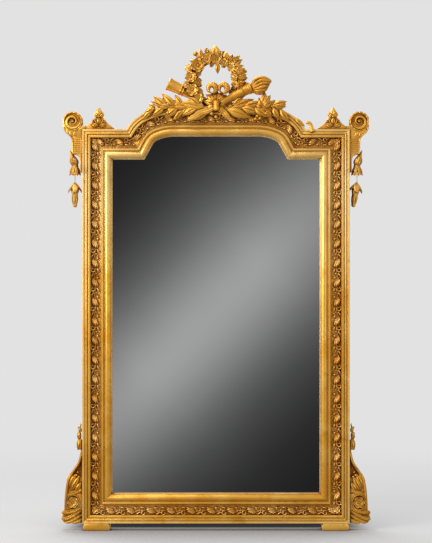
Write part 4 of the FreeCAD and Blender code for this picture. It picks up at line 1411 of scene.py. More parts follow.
@dataclass
class Palmettes(Assembly):
    """Pointed leaf ornaments that stand on the shoulders, with tables in millimetres."""

    set_in: float = 0.007
    easing: float = 0.0024
    half: tuple[Pair, ...] = (
        (57, 0), (57, 4), (50, 9), (43, 14.5), (35, 21), (27, 29), (20, 38), (13.5, 45), (16, 49),
        (19, 54), (17.5, 60), (11.5, 66), (7, 73), (3, 80))
    point: float = 83.0
    leaves: tuple[Row, ...] = (
        (0, 50, 0, 82, 20, 9), (0, 46, 0, 8, 17, 13), (-3, 46, -18, 56, 12, 8),
        (3, 46, 18, 56, 12, 8), (-2, 12, -34, 20, 15, 10), (2, 12, 34, 20, 15, 10))
    curl: tuple[Pair, ...] = (
        (-3, 12), (-10, 22), (-14, 33), (-20, 35), (-23, 29.5), (-19, 26), (-17, 29.5))
    curl_sizes: tuple[Pair, ...] = (
        (2, 3), (3.2, 4.2), (3.4, 4.6), (3, 4.2), (2.6, 3.8), (2, 3.2), (1.4, 2.4))

    def build(self) -> list[Piece]:
        """Carves the left palmette and copies it.

        Returns:
            The palmettes.
        """
        low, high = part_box("left_palmette")
        face = low.y + self.set_in
        origin = Vector(((low.x + high.x) / 2.0, face, low.z))

        def at(across: float, up: float, forward: float = 0.0) -> Vector:
            """Point from the ornament's foot in millimetres, forward of its face."""
            return origin + mm(across, -forward, up)

        outline = [at(-across, up) for across, up in self.half] + [at(0, self.point)]
        outline += [at(*point) for point in reversed(self.half)]
        pieces = [Bench.slab(outline, face, high.y, self.easing)]
        for *points, width, rise in self.leaves:
            foot, tip = at(*points[:2], 2), at(*points[2:], 1.5)
            pieces.append(self.foliage.leaf(foot, tip, width, rise))
        pieces.append(Bench.berry(at(0, 47.5, 4), 5))
        for side in (1, -1):
            spine = [at(side * across, up, 3) for across, up in self.curl]
            pieces.append(Bench.tube(spine, self.curl_sizes, 30, 10))
        return self.pair("palmette", Bench.joined(pieces))


@dataclass
class UpperConsoles(Assembly):
    """Volutes over ribbed shafts on the frame's sides, with tables in millimetres."""

    eye_set_in: Pair = (0.0412, 0.0345)
    rim: float = 35.0
    rim_start: float = math.radians(168.0)
    rim_end: float = math.radians(-78.0)
    scallops: int = 9
    scallop: float = 2.2
    spiral: float = 29.0
    spiral_start: float = math.radians(205.0)
    tightness: float = 0.150
    band: float = 0.56
    ribs: int = 8
    rib_pitch: float = 7.1
    rib_foot: float = -86.0
    rib_outs: Row = (527.2, 513.5, 499.8)
    edge_beads: tuple[Pair, ...] = ((529.4, 2.6), (497.4, 3))
    bead_ups: Row = (-90, -62, -34)
    ledge: tuple[Pair, ...] = ((12, -1), (12, 10), (-12, 14), (-12, -1))
    shaft_ends: Pair = (-158, 10)
    bead_rise: float = 2.4
    rib: Pair = (3, 2)
    rib_side: float = 531.2
    side_rib: Pair = (3, 2.2)
    rim_inset: float = 2.4
    rim_roll: Pair = (2.6, 3.4)
    button: float = 4.6
    neck: tuple[Pair, ...] = (
        (566, 18), (565, 8), (561, -4), (553, -14), (543, -22), (537, -30), (533, -38), (532, -48),
        (532, -91), (520, -92), (510, -97), (504, -106), (502.5, -118), (502, -158))
    folds: tuple[Row, ...] = (
        (556, 4, 536, -26, 13), (545, -4, 527, -30, 12), (530, -8, 512, -28, 12))

    def leafy(self, angle: float) -> float:
        """Share of a scallop at an angle, 0 in its valleys and off the leafy rim."""
        share = ((self.rim_start - angle) % math.tau) / (self.rim_start - self.rim_end)
        return abs(math.sin(math.pi * self.scallops * share)) ** 0.6 if share < 1.0 else 0.0

    def relief(self, radius: float, angle: float, edge: float) -> float:
        """Height of the scroll's carved front.

        Args:
            radius: Distance from the eye in millimetres.
            angle: Angle round the eye.
            edge: Radius of the rim at that angle.

        Returns:
            The height in millimetres.
        """
        if radius > self.spiral:
            share = (radius - self.spiral) / (edge - self.spiral)
            leaf = 0.35 + 0.65 * self.leafy(angle)
            return 0.6 + 3.4 * math.sin(math.pi * min(share, 0.92)) * leaf
        winding = math.log(self.spiral / max(radius, 0.8)) / self.tightness
        turn = (self.spiral_start - angle) % math.tau
        share = ((winding - turn) / math.tau) % 1.0
        swell = smooth_step(0.0, 8.0, radius)
        if share < self.band:
            return 1.0 + 4.2 * math.sin(math.pi * share / self.band) ** 0.5 * swell
        groove = (share - self.band) / (1.0 - self.band)
        return 1.0 - 3.8 * math.sin(math.pi * groove) ** 0.8 * swell

    def scroll(self, eye: Vector, front: float, back: float) -> list[Piece]:
        """Carves the scroll: a spiral cut into its front, inside a scalloped leaf rim.

        Args:
            eye: The scroll's centre.
            front: Depth of its front.
            back: Depth of its back.

        Returns:
            The scroll's pieces.
        """
        drum = (
            (0.0, back), (0.93, back), (1.0, back - 0.003), (0.94, back - 0.012),
            (0.93, front + 0.014), (0.985, front + 0.005))
        rows, sides = len(drum) + 40, 108

        def surface(first: float, second: float) -> Vector:
            """Point of the scroll's skin.

            Args:
                first: How far round the eye, from 0 to 1.
                second: How far from the middle of its back to the eye, from 0 to 1.

            Returns:
                The point.
            """
            angle = math.tau * (first % 1.0)
            edge = self.rim + self.scallop * self.leafy(angle)
            row = round(second * rows)
            if row < len(drum):
                share, depth = drum[row]
                radius = edge * share
            else:
                radius = edge * ((rows - row) / (rows - len(drum))) ** 0.9
                depth = front + 0.003 - self.relief(radius, angle, edge) * MM
            return Vector((eye.x, depth, eye.z)) + front_ray(angle) * (radius * MM)

        button = Vector((eye.x, front - 0.0006, eye.z))
        return [Bench.skin(surface, sides, rows), Bench.berry(button, self.button)]

    def shaft(self, eye: Vector, front: float, back: float) -> list[Piece]:
        """Cuts the neck, the ribbed shaft and the ledge over it.

        Args:
            eye: The scroll's centre.
            front: Depth of the console's front.
            back: Depth of its back.

        Returns:
            The shaft's pieces.
        """
        side, bed = self.datum.side / MM, front + 0.003

        def at(out: float, up: float, depth: float = bed) -> Vector:
            """Point from the middle line and the shoulder's top in millimetres, at a depth."""
            return Vector((-out * MM, depth, self.datum.shoulder_top + up * MM))

        outline = [*(at(side, up) for up in self.shaft_ends), eye + ACROSS * 0.020, eye]
        outline += [at(*point) for point in self.neck]
        pieces = [Bench.slab(outline, bed, back, 0.0016)]
        for out, wide in self.edge_beads:
            spine = [at(out, up) for up in self.bead_ups]
            pieces.append(Bench.tube(spine, [(wide, self.bead_rise)] * len(spine), 8, 8))
        for index in range(self.ribs):
            up = self.rib_foot + self.rib_pitch * index
            spine = [at(out, up, front + 0.0038) for out in self.rib_outs]
            pieces.append(Bench.tube(spine, [self.rib] * len(spine), 4, 10))
            depths = (front + 0.008, (front + back) / 2.0, back - 0.003)
            edge = [at(self.rib_side, up, depth) for depth in depths]
            pieces.append(Bench.tube(edge, [self.side_rib] * len(edge), 4, 8, -ACROSS))
        rim = [at(out - self.rim_inset, up) for out, up in self.neck[1:8]]
        pieces.append(Bench.tube(rim, [self.rim_roll] * len(rim), 30, 8))
        for *points, width in self.folds:
            foot, tip = at(*points[:2]), at(*points[2:], front + 0.002)
            pieces.append(self.foliage.leaf(foot, tip, width, 5))
        ledge = [at(side + out, up) for out, up in self.ledge]
        pieces.append(Bench.slab(ledge, front + 0.002, back, 0.0012))
        return pieces

    def build(self) -> list[Piece]:
        """Carves the left console and copies it.

        Returns:
            The consoles.
        """
        low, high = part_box("left_upper_console")
        front = low.y + 0.004
        eye = Vector((low.x + self.eye_set_in[0], 0.0, high.z - self.eye_set_in[1]))
        pieces = self.scroll(eye, front, high.y - 0.0015) + self.shaft(eye, front, high.y)
        return self.pair("upper_console", Bench.joined(pieces))


@dataclass
class LeafDrops(Assembly):
    """Husks under the consoles and the leaf drops that hang from them, tables in millimetres."""

    lean: float = math.radians(-8.0)
    flare: float = 0.019
    bud: tuple[Row, ...] = ((-19, -1, 16), (-14.5, -1, 4), (-8, 0, -12), (-2, 0, -28), (0, 0, -43))
    bud_sizes: tuple[Pair, ...] = ((0.5, 0.5), (4.5, 5), (11, 11.5), (15.5, 15.5), (10, 10))
    cup: tuple[Pair, ...] = (
        (0, 41), (10.5, 41), (13, 45), (13.6, 52), (15.5, 62), (21.5, 74), (22, 75.5), (19, 75),
        (13, 66), (0, 60))
    collar: tuple[Pair, ...] = ((0, 39.5), (11.5, 39.5), (13.2, 42.5), (11.5, 45.5), (0, 45.5))
    body: tuple[Pair, ...] = (
        (0, 0), (3.2, 0.5), (5, 8), (7.5, 18), (10.8, 32), (11.5, 44), (10.2, 62), (8.6, 80),
        (7, 90), (0, 93.5))
    petal: tuple[Pair, ...] = ((1, 0), (10, 7), (19, 13.5), (30, 21.5), (39, 24.5))
    petal_sizes: tuple[Pair, ...] = ((4, 3), (10, 4), (13.5, 4.4), (10.5, 3.6), (1, 1))
    bud_leaf: tuple[Row, ...] = ((9.5, -0.5, -42), (13.5, -7, -9))
    bud_leaf_size: Pair = (17, 11)
    cup_leaf: tuple[Pair, ...] = ((11.5, -46), (23.5, -78.5))
    cup_leaf_size: Pair = (12, 5)
    side_leaf: tuple[Pair, ...] = ((6, 4), (47, 16.5))
    side_leaf_size: Pair = (19, 9)
    hem_leaf: tuple[Pair, ...] = ((40, 9.5), (90, 8.5))
    hem_leaf_size: Pair = (11, 6)

    def husk(self) -> Piece:
        """Carves the left husk: a leaning leafy bud over a flared, fluted cup.

        Returns:
            The husk.
        """
        low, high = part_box("left_husk")
        axis = Vector(((low.x + high.x) / 2.0, (low.y + high.y) / 2.0, high.z))
        spine = [axis + mm(*point) for point in self.bud]
        pieces = [Bench.tube(spine, self.bud_sizes, 22, 36, flutes=6, depth=0.16)]
        for ray in rays(6, math.tau / 24):
            ends = [
                axis + ray * (out * MM) + mm(across, 0, up) for out, across, up in self.bud_leaf]
            pieces.append(self.foliage.leaf(*ends, *self.bud_leaf_size, ray))
        pieces.append(Bench.turning(self.cup, axis, -UP, 48, 0, 8, 0.06))
        for ray in rays(8, math.tau / 16):
            ends = [axis + ray * (out * MM) + UP * (up * MM) for out, up in self.cup_leaf]
            pieces.append(self.foliage.leaf(*ends, *self.cup_leaf_size, ray))
        pieces.append(Bench.turning(self.collar, axis, -UP, 24))
        return Bench.joined(pieces)

    def drop(self, node: str, lean: float) -> Piece:
        """Carves a leaf drop in the place of its node.

        Args:
            node: The drop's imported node.
            lean: Tilt of its foot towards the right, in radians.

        Returns:
            The drop.
        """
        low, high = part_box(node)
        head = Vector((low.x + self.flare, (low.y + high.y) / 2.0, high.z))
        if lean:
            head.x = (low.x + high.x) / 2.0 - math.sin(lean) * 0.030
        down, level = front_ray(lean - math.pi / 2.0), front_ray(lean)

        def at(fall: float, out: float, ray: Vector) -> Vector:
            """Point down from the drop's head and out along a ray, in millimetres."""
            return head + down * (fall * MM) + ray * (out * MM)

        pieces = [Bench.turning(self.body, head, down, 30, 22, 5, 0.10)]
        for ray, aside in zip(rays(4, 0.12, level), rays(4, 0.92, level)):
            spine = [at(fall, out, ray) for fall, out in self.petal]
            pieces.append(Bench.tube(spine, self.petal_sizes, 14, 16, ray, 4, 0.18))
            ends = [at(*end, aside) for end in self.side_leaf]
            pieces.append(self.foliage.leaf(*ends, *self.side_leaf_size, aside))
        for ray in rays(5, math.pi / 5, level):
            ends = [at(*end, ray) for end in self.hem_leaf]
            pieces.append(self.foliage.leaf(*ends, *self.hem_leaf_size, ray))
        return Bench.joined(pieces)

    def build(self) -> list[Piece]:
        """Carves both husks and both drops, the right one tilted to the frame.

        Returns:
            The husks and the drops.
        """
        pieces = self.pair("husk", self.husk())
        for word, lean in (("left", 0.0), ("right", self.lean)):
            node = f"{word}_leaf_drop"
            drop = self.drop(node, lean)
            pieces.append(self.dressed(drop, f"{word}_carved_leaf_drop", [node]))
        return pieces


@dataclass
class LowerConsoles(Assembly):
    """Acanthus wings at the frame's foot and the bellflowers that climb from them.

    Tables are in millimetres, out from the frame's side and up from its foot.
    """

    edge: tuple[Pair, ...] = (
        (68, 0), (75.5, 10), (77, 20), (73.5, 30.5), (75.5, 40), (67.5, 48), (67, 60), (66, 86),
        (64, 111), (62, 131), (58, 152), (51, 169), (42.5, 186), (32.5, 202), (22.5, 216),
        (15, 230), (10, 249), (6, 272))
    rosette: Pair = (35.0, 77.0)
    tip_fall: float = 16.0
    edge_fall: float = 5.0
    leaves: tuple[Row, ...] = (
        (36, 192, 58, 130, 19, 11), (24, 186, 55, 119, 20, 13), (11, 176, 46, 111, 20, 14),
        (3, 154, 30, 109, 18, 13), (3, 130, 12, 102, 13, 10))
    strands: tuple[tuple[Pair, ...], ...] = (
        ((2, 130), (18, 117), (36, 111), (50, 107), (57, 102), (60, 97)),
        ((2, 62), (24, 47), (50, 41), (67, 39.5), (74, 38.5), (77, 38)),
        ((2, 48), (26, 33), (50, 20), (66, 16.5), (74, 16), (78, 16)),
        ((2, 31), (22, 20), (42, 9), (54, 5.5), (61, 5), (65, 5)),
        ((2, 15), (13, 9), (24, 5), (31, 4), (36, 4), (39, 4)),
    )
    strand_sizes: tuple[Pair, ...] = ((4, 5), (7.6, 8), (8.2, 9), (8, 9), (6.6, 7.5), (1, 1.5))
    berries: tuple[Row, ...] = ((22, 178, 5), (13, 172, 4.4), (17, 189, 3.8))
    bells: tuple[Row, ...] = ((-2, 46, 11.5, 0), (40, 27, 7.5, -2), (63, 21, 6, 1))
    bulb: tuple[Pair, ...] = (
        (0, 0), (0.75, 0.02), (0.8, 0.12), (0.98, 0.4), (0.84, 0.66), (0.4, 0.9), (0, 1))
    twig: tuple[Pair, ...] = ((0, 30), (-1.5, 55), (1.5, 78), (2.5, 97))
    twig_sizes: tuple[Pair, ...] = ((3, 3), (2.6, 2.6), (2.2, 2.2), (0.8, 0.8))
    twig_leaves: tuple[Row, ...] = ((80, -8, 7), (88, 6, 6), (58, -10, 7), (44, -10.5, 8))
    rosette_size: float = 23.0
    rosette_ring: Pair = (24, 28)
    ring_size: Pair = (4, 5.5)
    bell_leaf: tuple[Pair, ...] = ((0.30, 0.94), (1.15, 0.02))
    bell_leaf_size: Pair = (1.05, 0.7)

    def width(self, up: float) -> float:
        """Width of the wing at one height.

        Args:
            up: Height over the frame's foot in millimetres.

        Returns:
            The width in millimetres.
        """
        heights = [height for _, height in self.edge]
        last = len(heights) - 1
        index = next((place for place in range(last) if up <= heights[place + 1]), last - 1)
        low, high = heights[index], heights[index + 1]
        points = [ACROSS * out for out, _ in self.edge]
        return along(points, (index + (up - low) / (high - low)) / last).x

    def relief(self, out: float, up: float) -> float:
        """Height of the wing's carved ground over the carving's bed.

        Args:
            out: Distance from the frame's side in millimetres.
            up: Height over the frame's foot in millimetres.

        Returns:
            The height in millimetres.
        """
        inset = self.width(up) - out
        upper = smooth_step(168, 182, up)
        rim = math.exp(-(((inset - 5) / 5) ** 2)) * smooth_step(50, 70, up)
        pocket = upper * smooth_step(10, 15, inset) * smooth_step(262, 246, up)
        lip = upper * math.exp(-(((inset - 6) / 3) ** 2))
        shaded = smooth_step(104, 116, up) * smooth_step(184, 166, up) * smooth_step(8, 13, inset)
        pit = math.exp(-((out - 6) ** 2 + (up - 181) ** 2) / 6.5 ** 2)
        dish = smooth_step(
            1.1, 0.8, math.hypot((out - self.rosette[0]) / 26, (up - self.rosette[1]) / 31))
        height = 6 + 5.5 * rim - 15 * pocket + 3 * lip - 4 * shaded - 14 * pit - 4 * dish
        return max(height - 6 * smooth_step(52, 42, up), -7)

    def wing(self) -> Piece:
        """Carves the left wing: a scrolled acanthus with a rosette and a curled toe.

        Returns:
            The wing.
        """
        low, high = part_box("left_lower_console")
        corner = Vector((-self.datum.side, low.y + 0.011, self.datum.foot_top))
        columns, rows, turned = 44, 132, 3
        foot, tall = 1.0, self.edge[-1][1]

        def at(out: float, up: float, forward: float) -> Vector:
            """Point from the frame's side and foot, forward of the carving's bed."""
            return corner + mm(-out, -forward, up)

        def surface(first: float, second: float) -> Vector:
            """Point of the wing's skin.

            Args:
                first: How far across its front and round its edge, from 0 to 1.
                second: How far up it, from 0 to 1.

            Returns:
                The point.
            """
            column = round(first * columns)
            up = foot + (tall - foot) * second
            width = self.width(up)
            tip = self.tip_fall * smooth_step(240, 276, up) ** 2
            if column == 0:
                point = at(0, up, 0)
                point.y = high.y
            elif column >= columns - turned:
                share = (column - columns + turned) / turned
                point = at(width, up, self.relief(width, up) - self.edge_fall - tip)
                point.x += 2.2 * math.sin(math.pi * share) * MM
                point.y += (high.y - point.y) * share
            else:
                share = (column - 1) / (columns - turned - 2)
                fall = self.edge_fall * smooth_step(0.90, 1.0, share) ** 2 + tip
                point = at(width * share, up, self.relief(width * share, up) - fall)
            return point

        pieces = [Bench.skin(surface, columns, rows)]
        for *points, width, rise in self.leaves:
            start, end = at(*points[:2], 4), at(*points[2:], 5)
            pieces.append(self.foliage.leaf(start, end, width, rise))
        centre = at(*self.rosette, 3)
        steps = [math.pi * step / 10 for step in range(21)]
        half_wide, half_tall = self.rosette_ring
        ring = [
            centre + mm(-half_wide * math.cos(angle), 0, half_tall * math.sin(angle))
            for angle in steps]
        pieces.append(Bench.tube(ring, [self.ring_size] * len(ring), 60, 10))
        pieces.append(self.foliage.bloom(
            self.foliage.rose, at(*self.rosette, 0), self.rosette_size, FORWARD, 0.4))
        for strand in self.strands:
            spine = [at(*point, 1.5) for point in strand]
            pieces.append(Bench.tube(spine, self.strand_sizes, 36, 40, flutes=9, depth=0.22))
        pieces += [Bench.berry(at(out, up, 5), radius) for out, up, radius in self.berries]
        whole = Bench.joined(pieces)
        for vertex in whole.data.vertices:
            vertex.co.y = min(max(vertex.co.y, low.y - 0.006), high.y)
        return whole

    def bellflower(self) -> Piece:
        """Carves the left bellflowers: bells on a twig with small leaves.

        Returns:
            The bellflowers as one piece.
        """
        low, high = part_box("left_bellflower")
        foot = Vector(((low.x + high.x) / 2.0, (low.y + high.y) / 2.0, low.z))
        pieces = []
        for start, tall, wide, lean in self.bells:
            base = foot + mm(lean, 0, start)
            outline = [(radius * wide, height * tall) for radius, height in self.bulb]
            pieces.append(Bench.turning(outline, base, UP, 24, 12, 5, 0.20))
            for ray in rays(5, math.tau / 20):
                ends = [
                    base + ray * (out * wide * MM) + UP * (up * tall * MM)
                    for out, up in self.bell_leaf]
                size = [share * wide for share in self.bell_leaf_size]
                pieces.append(self.foliage.leaf(*ends, *size, ray))
        for up, across, wide in self.twig_leaves:
            start, end = foot + mm(0, -1, up - 7), foot + mm(across, -3, up + 5)
            pieces.append(self.foliage.leaf(start, end, wide, 5))
        twig = [foot + mm(across, 0, up) for across, up in self.twig]
        pieces.append(Bench.tube(twig, self.twig_sizes, 16, 8))
        return Bench.joined(pieces)

    def build(self) -> list[Piece]:
        """Carves the left wing and bellflowers and copies them."""
        wings = self.pair("lower_console", self.wing())
        return wings + self.pair("bellflower", self.bellflower())


# Crest


@dataclass(frozen=True)
class Branch:
    """Setting-out of one laurel branch, in millimetres from the crown's top centre.

    Each leaf has its foot, its tip and its width.
    """

    side: Side
    stem: tuple[Pair, ...]
    leaves: tuple[Row, ...]
    berries: tuple[Pair, ...]


LEFT_BRANCH = Branch(
    side=Side.LEFT,
    stem=((-8, -8), (-60, -10), (-125, -7), (-200, -4), (-240, -18)),
    leaves=(
        (-146, -6, -201, 48, 25), (-176, -8, -231, 36, 26), (-190, -4, -241, 18, 19),
        (-124, 0, -153, 43, 21), (-40, -8, -142, 14, 33), (-190, -6, -237, -37, 23),
        (-140, -10, -190, -41, 26), (-120, -14, -158, -52, 20), (-24, -14, -108, -53, 34),
        (-226, -6, -267, -30, 21), (-242, -20, -270, -50, 18), (-96, -4, -178, 6, 30),
        (-70, -8, -128, -34, 26), (-166, -4, -222, 2, 22), (-58, 2, -104, 34, 24)),
    berries=((-150, -46), (-90, -40), (-178, -26)),
)
RIGHT_BRANCH = Branch(
    side=Side.RIGHT,
    stem=((8, -8), (60, -10), (130, -6), (205, -2), (244, -20)),
    leaves=(
        (56, -8, 141, 26, 28), (206, 2, 262, 17, 22), (208, 0, 260, -3, 17),
        (36, -14, 130, -42, 33), (140, -6, 191, -41, 26), (184, -10, 206, -47, 20),
        (208, -4, 233, -51, 21), (234, -10, 270, -60, 23), (92, -6, 160, -24, 26),
        (100, -2, 170, 14, 25), (150, -2, 214, -16, 22), (60, 2, 104, 36, 20)),
    berries=((152, -38), (162, -46), (146, -48), (184, -28)),
)


@dataclass
class Crest(Assembly):
    """Wreath, torch, quiver, ribbon and laurel on the crown.

    Its tables are in millimetres. Flowers have an angle in degrees, a reach from the wreath's
    centre and a radius; sprays and folds have a foot, a tip and a width.
    """

    seed: int = 7
    wreath_rise: float = 94.0
    wreath_radius: float = 88.0
    wreath_ends: Pair = (-42.0, 228.0)
    leaf_depth: float = -24.5
    rosette: Pair = (172, -3)
    rosette_leaves: tuple[Row, ...] = (
        (181, 50, 27), (201, 40, 24), (206, 13, 24), (157, 30, 22), (144, 6, 20), (190, -8, 20))
    shoulder_curl: tuple[Row, ...] = (
        (331, -66, 2.5), (337, -62, 6), (344.5, -63.5, 7.4), (350, -71.5, 8), (353, -82, 8.4),
        (355, -94, 9.5))
    roses: tuple[Row, ...] = (
        (140, 86, 27), (202, 92, 24), (172, 92, 22), (156, 108, 16), (113, 86, 21), (88, 80, 22),
        (226, 92, 19), (-36, 88, 17), (38, 74, 16), (-12, 74, 15))
    daisies: tuple[Row, ...] = (
        (187, 70, 16), (124, 105, 15), (66, 74, 18), (12, 98, 14), (158, 72, 13), (214, 74, 14),
        (101, 104, 13), (-27, 102, 14), (10, 70, 15), (188, 109, 14))
    sprays: tuple[Row, ...] = (
        (30, 56, 62, 100, 15), (34, 54, 78, 86, 15), (42, 50, 94, 68, 15), (46, 46, 104, 56, 14),
        (70, 34, 116, 34, 16), (76, 14, 118, 10, 17), (78, -8, 119, -14, 16), (84, 26, 54, 22, 15),
        (82, -6, 53, -14, 15), (-80, 2, -50, 2, 15), (-78, -20, -50, -16, 14),
        (-84, 40, -118, 46, 16), (-84, 14, -118, 10, 15), (-84, -14, -116, -26, 15),
        (-66, 62, -98, 76, 15), (-56, 80, -57, 118, 15), (-34, 82, -35, 124, 14),
        (-2, 80, -3, 132, 28), (-12, 84, -22, 116, 18), (10, 82, 22, 112, 20),
        (32, 76, 40, 108, 17), (6, 66, 6, 24, 14), (-8, 66, -22, 50, 14), (22, 62, 34, 46, 14),
        (-66, -56, -44, -60, 15), (66, -44, 44, -40, 14), (60, -50, 96, -52, 15),
        (-46, 72, -78, 98, 15), (56, 60, 88, 94, 14), (72, 26, 108, 46, 17),
        (74, 20, 114, 22, 18), (70, 22, 98, 2, 17), (70, 28, 94, 60, 16), (72, 22, 58, 0, 15),
        (74, -22, 116, -30, 18), (76, -18, 114, -4, 18), (74, -24, 104, -48, 17),
        (76, -22, 54, -34, 16), (60, 46, 80, 76, 16), (54, 56, 100, 80, 15))
    torch_ends: tuple[Pair, Pair] = ((15, 9), (129, 68))
    torch_foot: tuple[Pair, ...] = (
        (0, 0), (11.6, 0), (12.6, 1.5), (12.8, 8), (14, 10), (14, 13), (13.2, 15))
    torch_shares: tuple[Pair, ...] = (
        (17.4, 0.70), (19.4, 0.715), (19.6, 0.74), (17.8, 0.755), (19, 0.88), (21.4, 0.90),
        (22.4, 0.925), (21.2, 0.95), (21.6, 0.965), (22.8, 0.985), (22.2, 1.0))
    flame_core: tuple[Pair, ...] = ((132, 62), (150, 71), (172, 77), (188, 80), (198, 86))
    core_sizes: tuple[Pair, ...] = ((17, 16), (23, 20), (22, 19), (13, 12), (2, 2))
    tongues: tuple[tuple[Pair, ...], ...] = (
        ((132, 75), (146, 96), (171, 103), (194, 97), (205, 90)),
        ((134, 70), (152, 85), (174, 93), (193, 91), (204, 88)),
        ((136, 65), (156, 74), (176, 82), (191, 83), (200, 83)),
        ((138, 60), (158, 64), (176, 70), (188, 73), (196, 75)),
        ((140, 55), (157, 55), (172, 58), (184, 62), (191, 67)),
        ((142, 51), (152, 49), (164, 48.5), (174, 50), (183, 56)),
    )
    tongue_sizes: tuple[Pair, ...] = ((4.6, 6), (7.4, 9), (7.6, 9), (5.4, 7), (1.2, 1.5))
    swells: Row = (5, 12, 15, 15, 12, 5)
    bulges: Row = (0.8, 1.1, 1.1, 0.7, 0.2)
    quiver_ends: tuple[Pair, Pair] = ((-14, 9), (-177, 85))
    quiver_ring: tuple[Pair, ...] = ((0, 0), (2.2, 1), (2.6, 3), (2.2, 5), (0, 6))
    quiver_mouth: tuple[Pair, ...] = (
        (-0.6, -8), (1.4, -5), (1.8, -1), (0.4, 0), (-3.6, 0), (-4.2, -12))
    knot: tuple[Row, ...] = (
        (-19, 10, 12), (-13, 13.5, 16), (0, 12, 15), (13, 13.5, 16), (20, 9, 11))
    knot_berries: tuple[Row, ...] = ((-15, -29, 7.5), (0, -41, 7), (15, -30, 6))
    loops: tuple[Row, ...] = ((-13, 65.5, -15.5, 57, -1), (29.5, 65.5, 24, 59.5, 1))
    folds: tuple[Row, ...] = (
        (2, 14, -38, 44, 24), (2, 12, -24, 36, 20), (2, 14, 40, 42, 24), (2, 12, 22, 38, 20),
        (2, 16, 3, 58, 24), (-4, 6, -46, 18, 22), (0, 16, -17, 51, 28), (4, 16, 26, 51, 28),
        (-2, 0, -40, -14, 24), (6, 2, 40, -6, 22), (8, 8, 44, 14, 20))
    tails: tuple[tuple[Pair, ...], ...] = (
        ((6, -6), (18, -16), (28, -24), (40, -38), (53, -52)),
        ((-6, -6), (-28, -18), (-52, -24), (-78, -40), (-104, -50)),
    )
    tail_sizes: tuple[Pair, ...] = ((7, 4), (10, 4.4), (11, 4.2), (10.5, 4), (3, 1.6))
    stem_sizes: tuple[Pair, ...] = ((5, 4.5), (5, 4.5), (5, 4.5), (5, 4.5), (2.5, 2.5))
    laurel_berry: float = 6.5
    curl_depth: float = -20.5
    curl_thickness: float = 4.2
    shoulder_leaf: tuple[Row, ...] = ((290, -44, -20), (329, -76, -21))
    wreath_core: Pair = (21, 16)
    rim_leaf: tuple[Pair, Pair] = ((94, -6), (115, -8))
    rim_leaf_size: Pair = (19, 9)
    side_berry: Row = (-76, -4, 100)
    quiver_foot: float = 11.0
    quiver_taper: float = 12.0
    quiver_rings: Pair = (66, 56)
    loop: Pair = (22, 21.5)
    hole: Pair = (6.5, 9)

    def at(self, across: float, rise: float, depth: float) -> Vector:
        """Point over the crown's top centre in millimetres, at a depth in millimetres."""
        return mm(across, depth, self.datum.crown_top / MM + rise)

    def branch(self, branch: Branch, draws: random.Random) -> Piece:
        """Carves one laurel branch with its leaves and berries.

        Args:
            branch: The branch's setting-out.
            draws: Source of the small differences between leaves.

        Returns:
            The branch.
        """
        leaf, depth, side = self.foliage.leaf, self.leaf_depth, branch.side
        spine = [self.at(*point, depth + 1) for point in branch.stem]
        pieces = [Bench.tube(spine, self.stem_sizes, 30, 10)]
        for *points, width in branch.leaves:
            foot = self.at(*points[:2], depth - draws.uniform(0.0, 4.0))
            tip = self.at(*points[2:], depth - draws.uniform(0.0, 6.0))
            pieces.append(leaf(foot, tip, 0.98 * width, draws.uniform(11.0, 15.0)))
        for index in range(10):
            foot = along(spine, 0.1 + 0.085 * index)
            swing = draws.uniform(-0.4, 0.4) + (0.9 if index % 2 else -0.9)
            heading = Vector((side.value * math.cos(swing), 0.0, math.sin(swing)))
            tip = foot + heading * (draws.uniform(30.0, 40.0) * MM)
            tip += FORWARD * (draws.uniform(-2.0, 3.0) * MM)
            pieces.append(leaf(foot, tip, draws.uniform(17.0, 21.0), 10))
        for place in branch.berries:
            pieces.append(Bench.berry(self.at(*place, depth - 3), self.laurel_berry))
        if side is Side.RIGHT:
            for *end, width in self.rosette_leaves:
                foot, tip = self.at(*self.rosette, depth - 5), self.at(*end, depth - 8)
                pieces.append(leaf(foot, tip, width, 13))
            curl = [self.at(*point, self.curl_depth) for *point, _ in self.shoulder_curl]
            sizes = [(wide, self.curl_thickness) for *_, wide in self.shoulder_curl]
            pieces.append(Bench.tube(curl, sizes, 24, 28, flutes=6, depth=0.2))
            pieces.append(leaf(*(self.at(*end) for end in self.shoulder_leaf), 15, 8))
        name, node = f"{side.word}_carved_laurel_branch", f"{side.word}_laurel_branch"
        return self.dressed(Bench.joined(pieces), name, [node])

    def wreath(self, draws: random.Random) -> Piece:
        """Carves the wreath of roses, daisies and leaves, open at its foot.

        Args:
            draws: Source of the small differences between flowers.

        Returns:
            The wreath.
        """
        leaf, limit = self.foliage.leaf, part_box("wreath")[1].y
        centre = self.at(0, self.wreath_rise, limit / MM - 24)
        start, end = self.wreath_ends
        joints, rim_leaves, berries = 13, 26, 16

        def ring(degrees: float, reach: float, forward: float) -> Vector:
            """Point at an angle and a reach from the centre, forward of the wreath's core."""
            return centre + (front_ray(math.radians(degrees)) * reach + FORWARD * forward) * MM

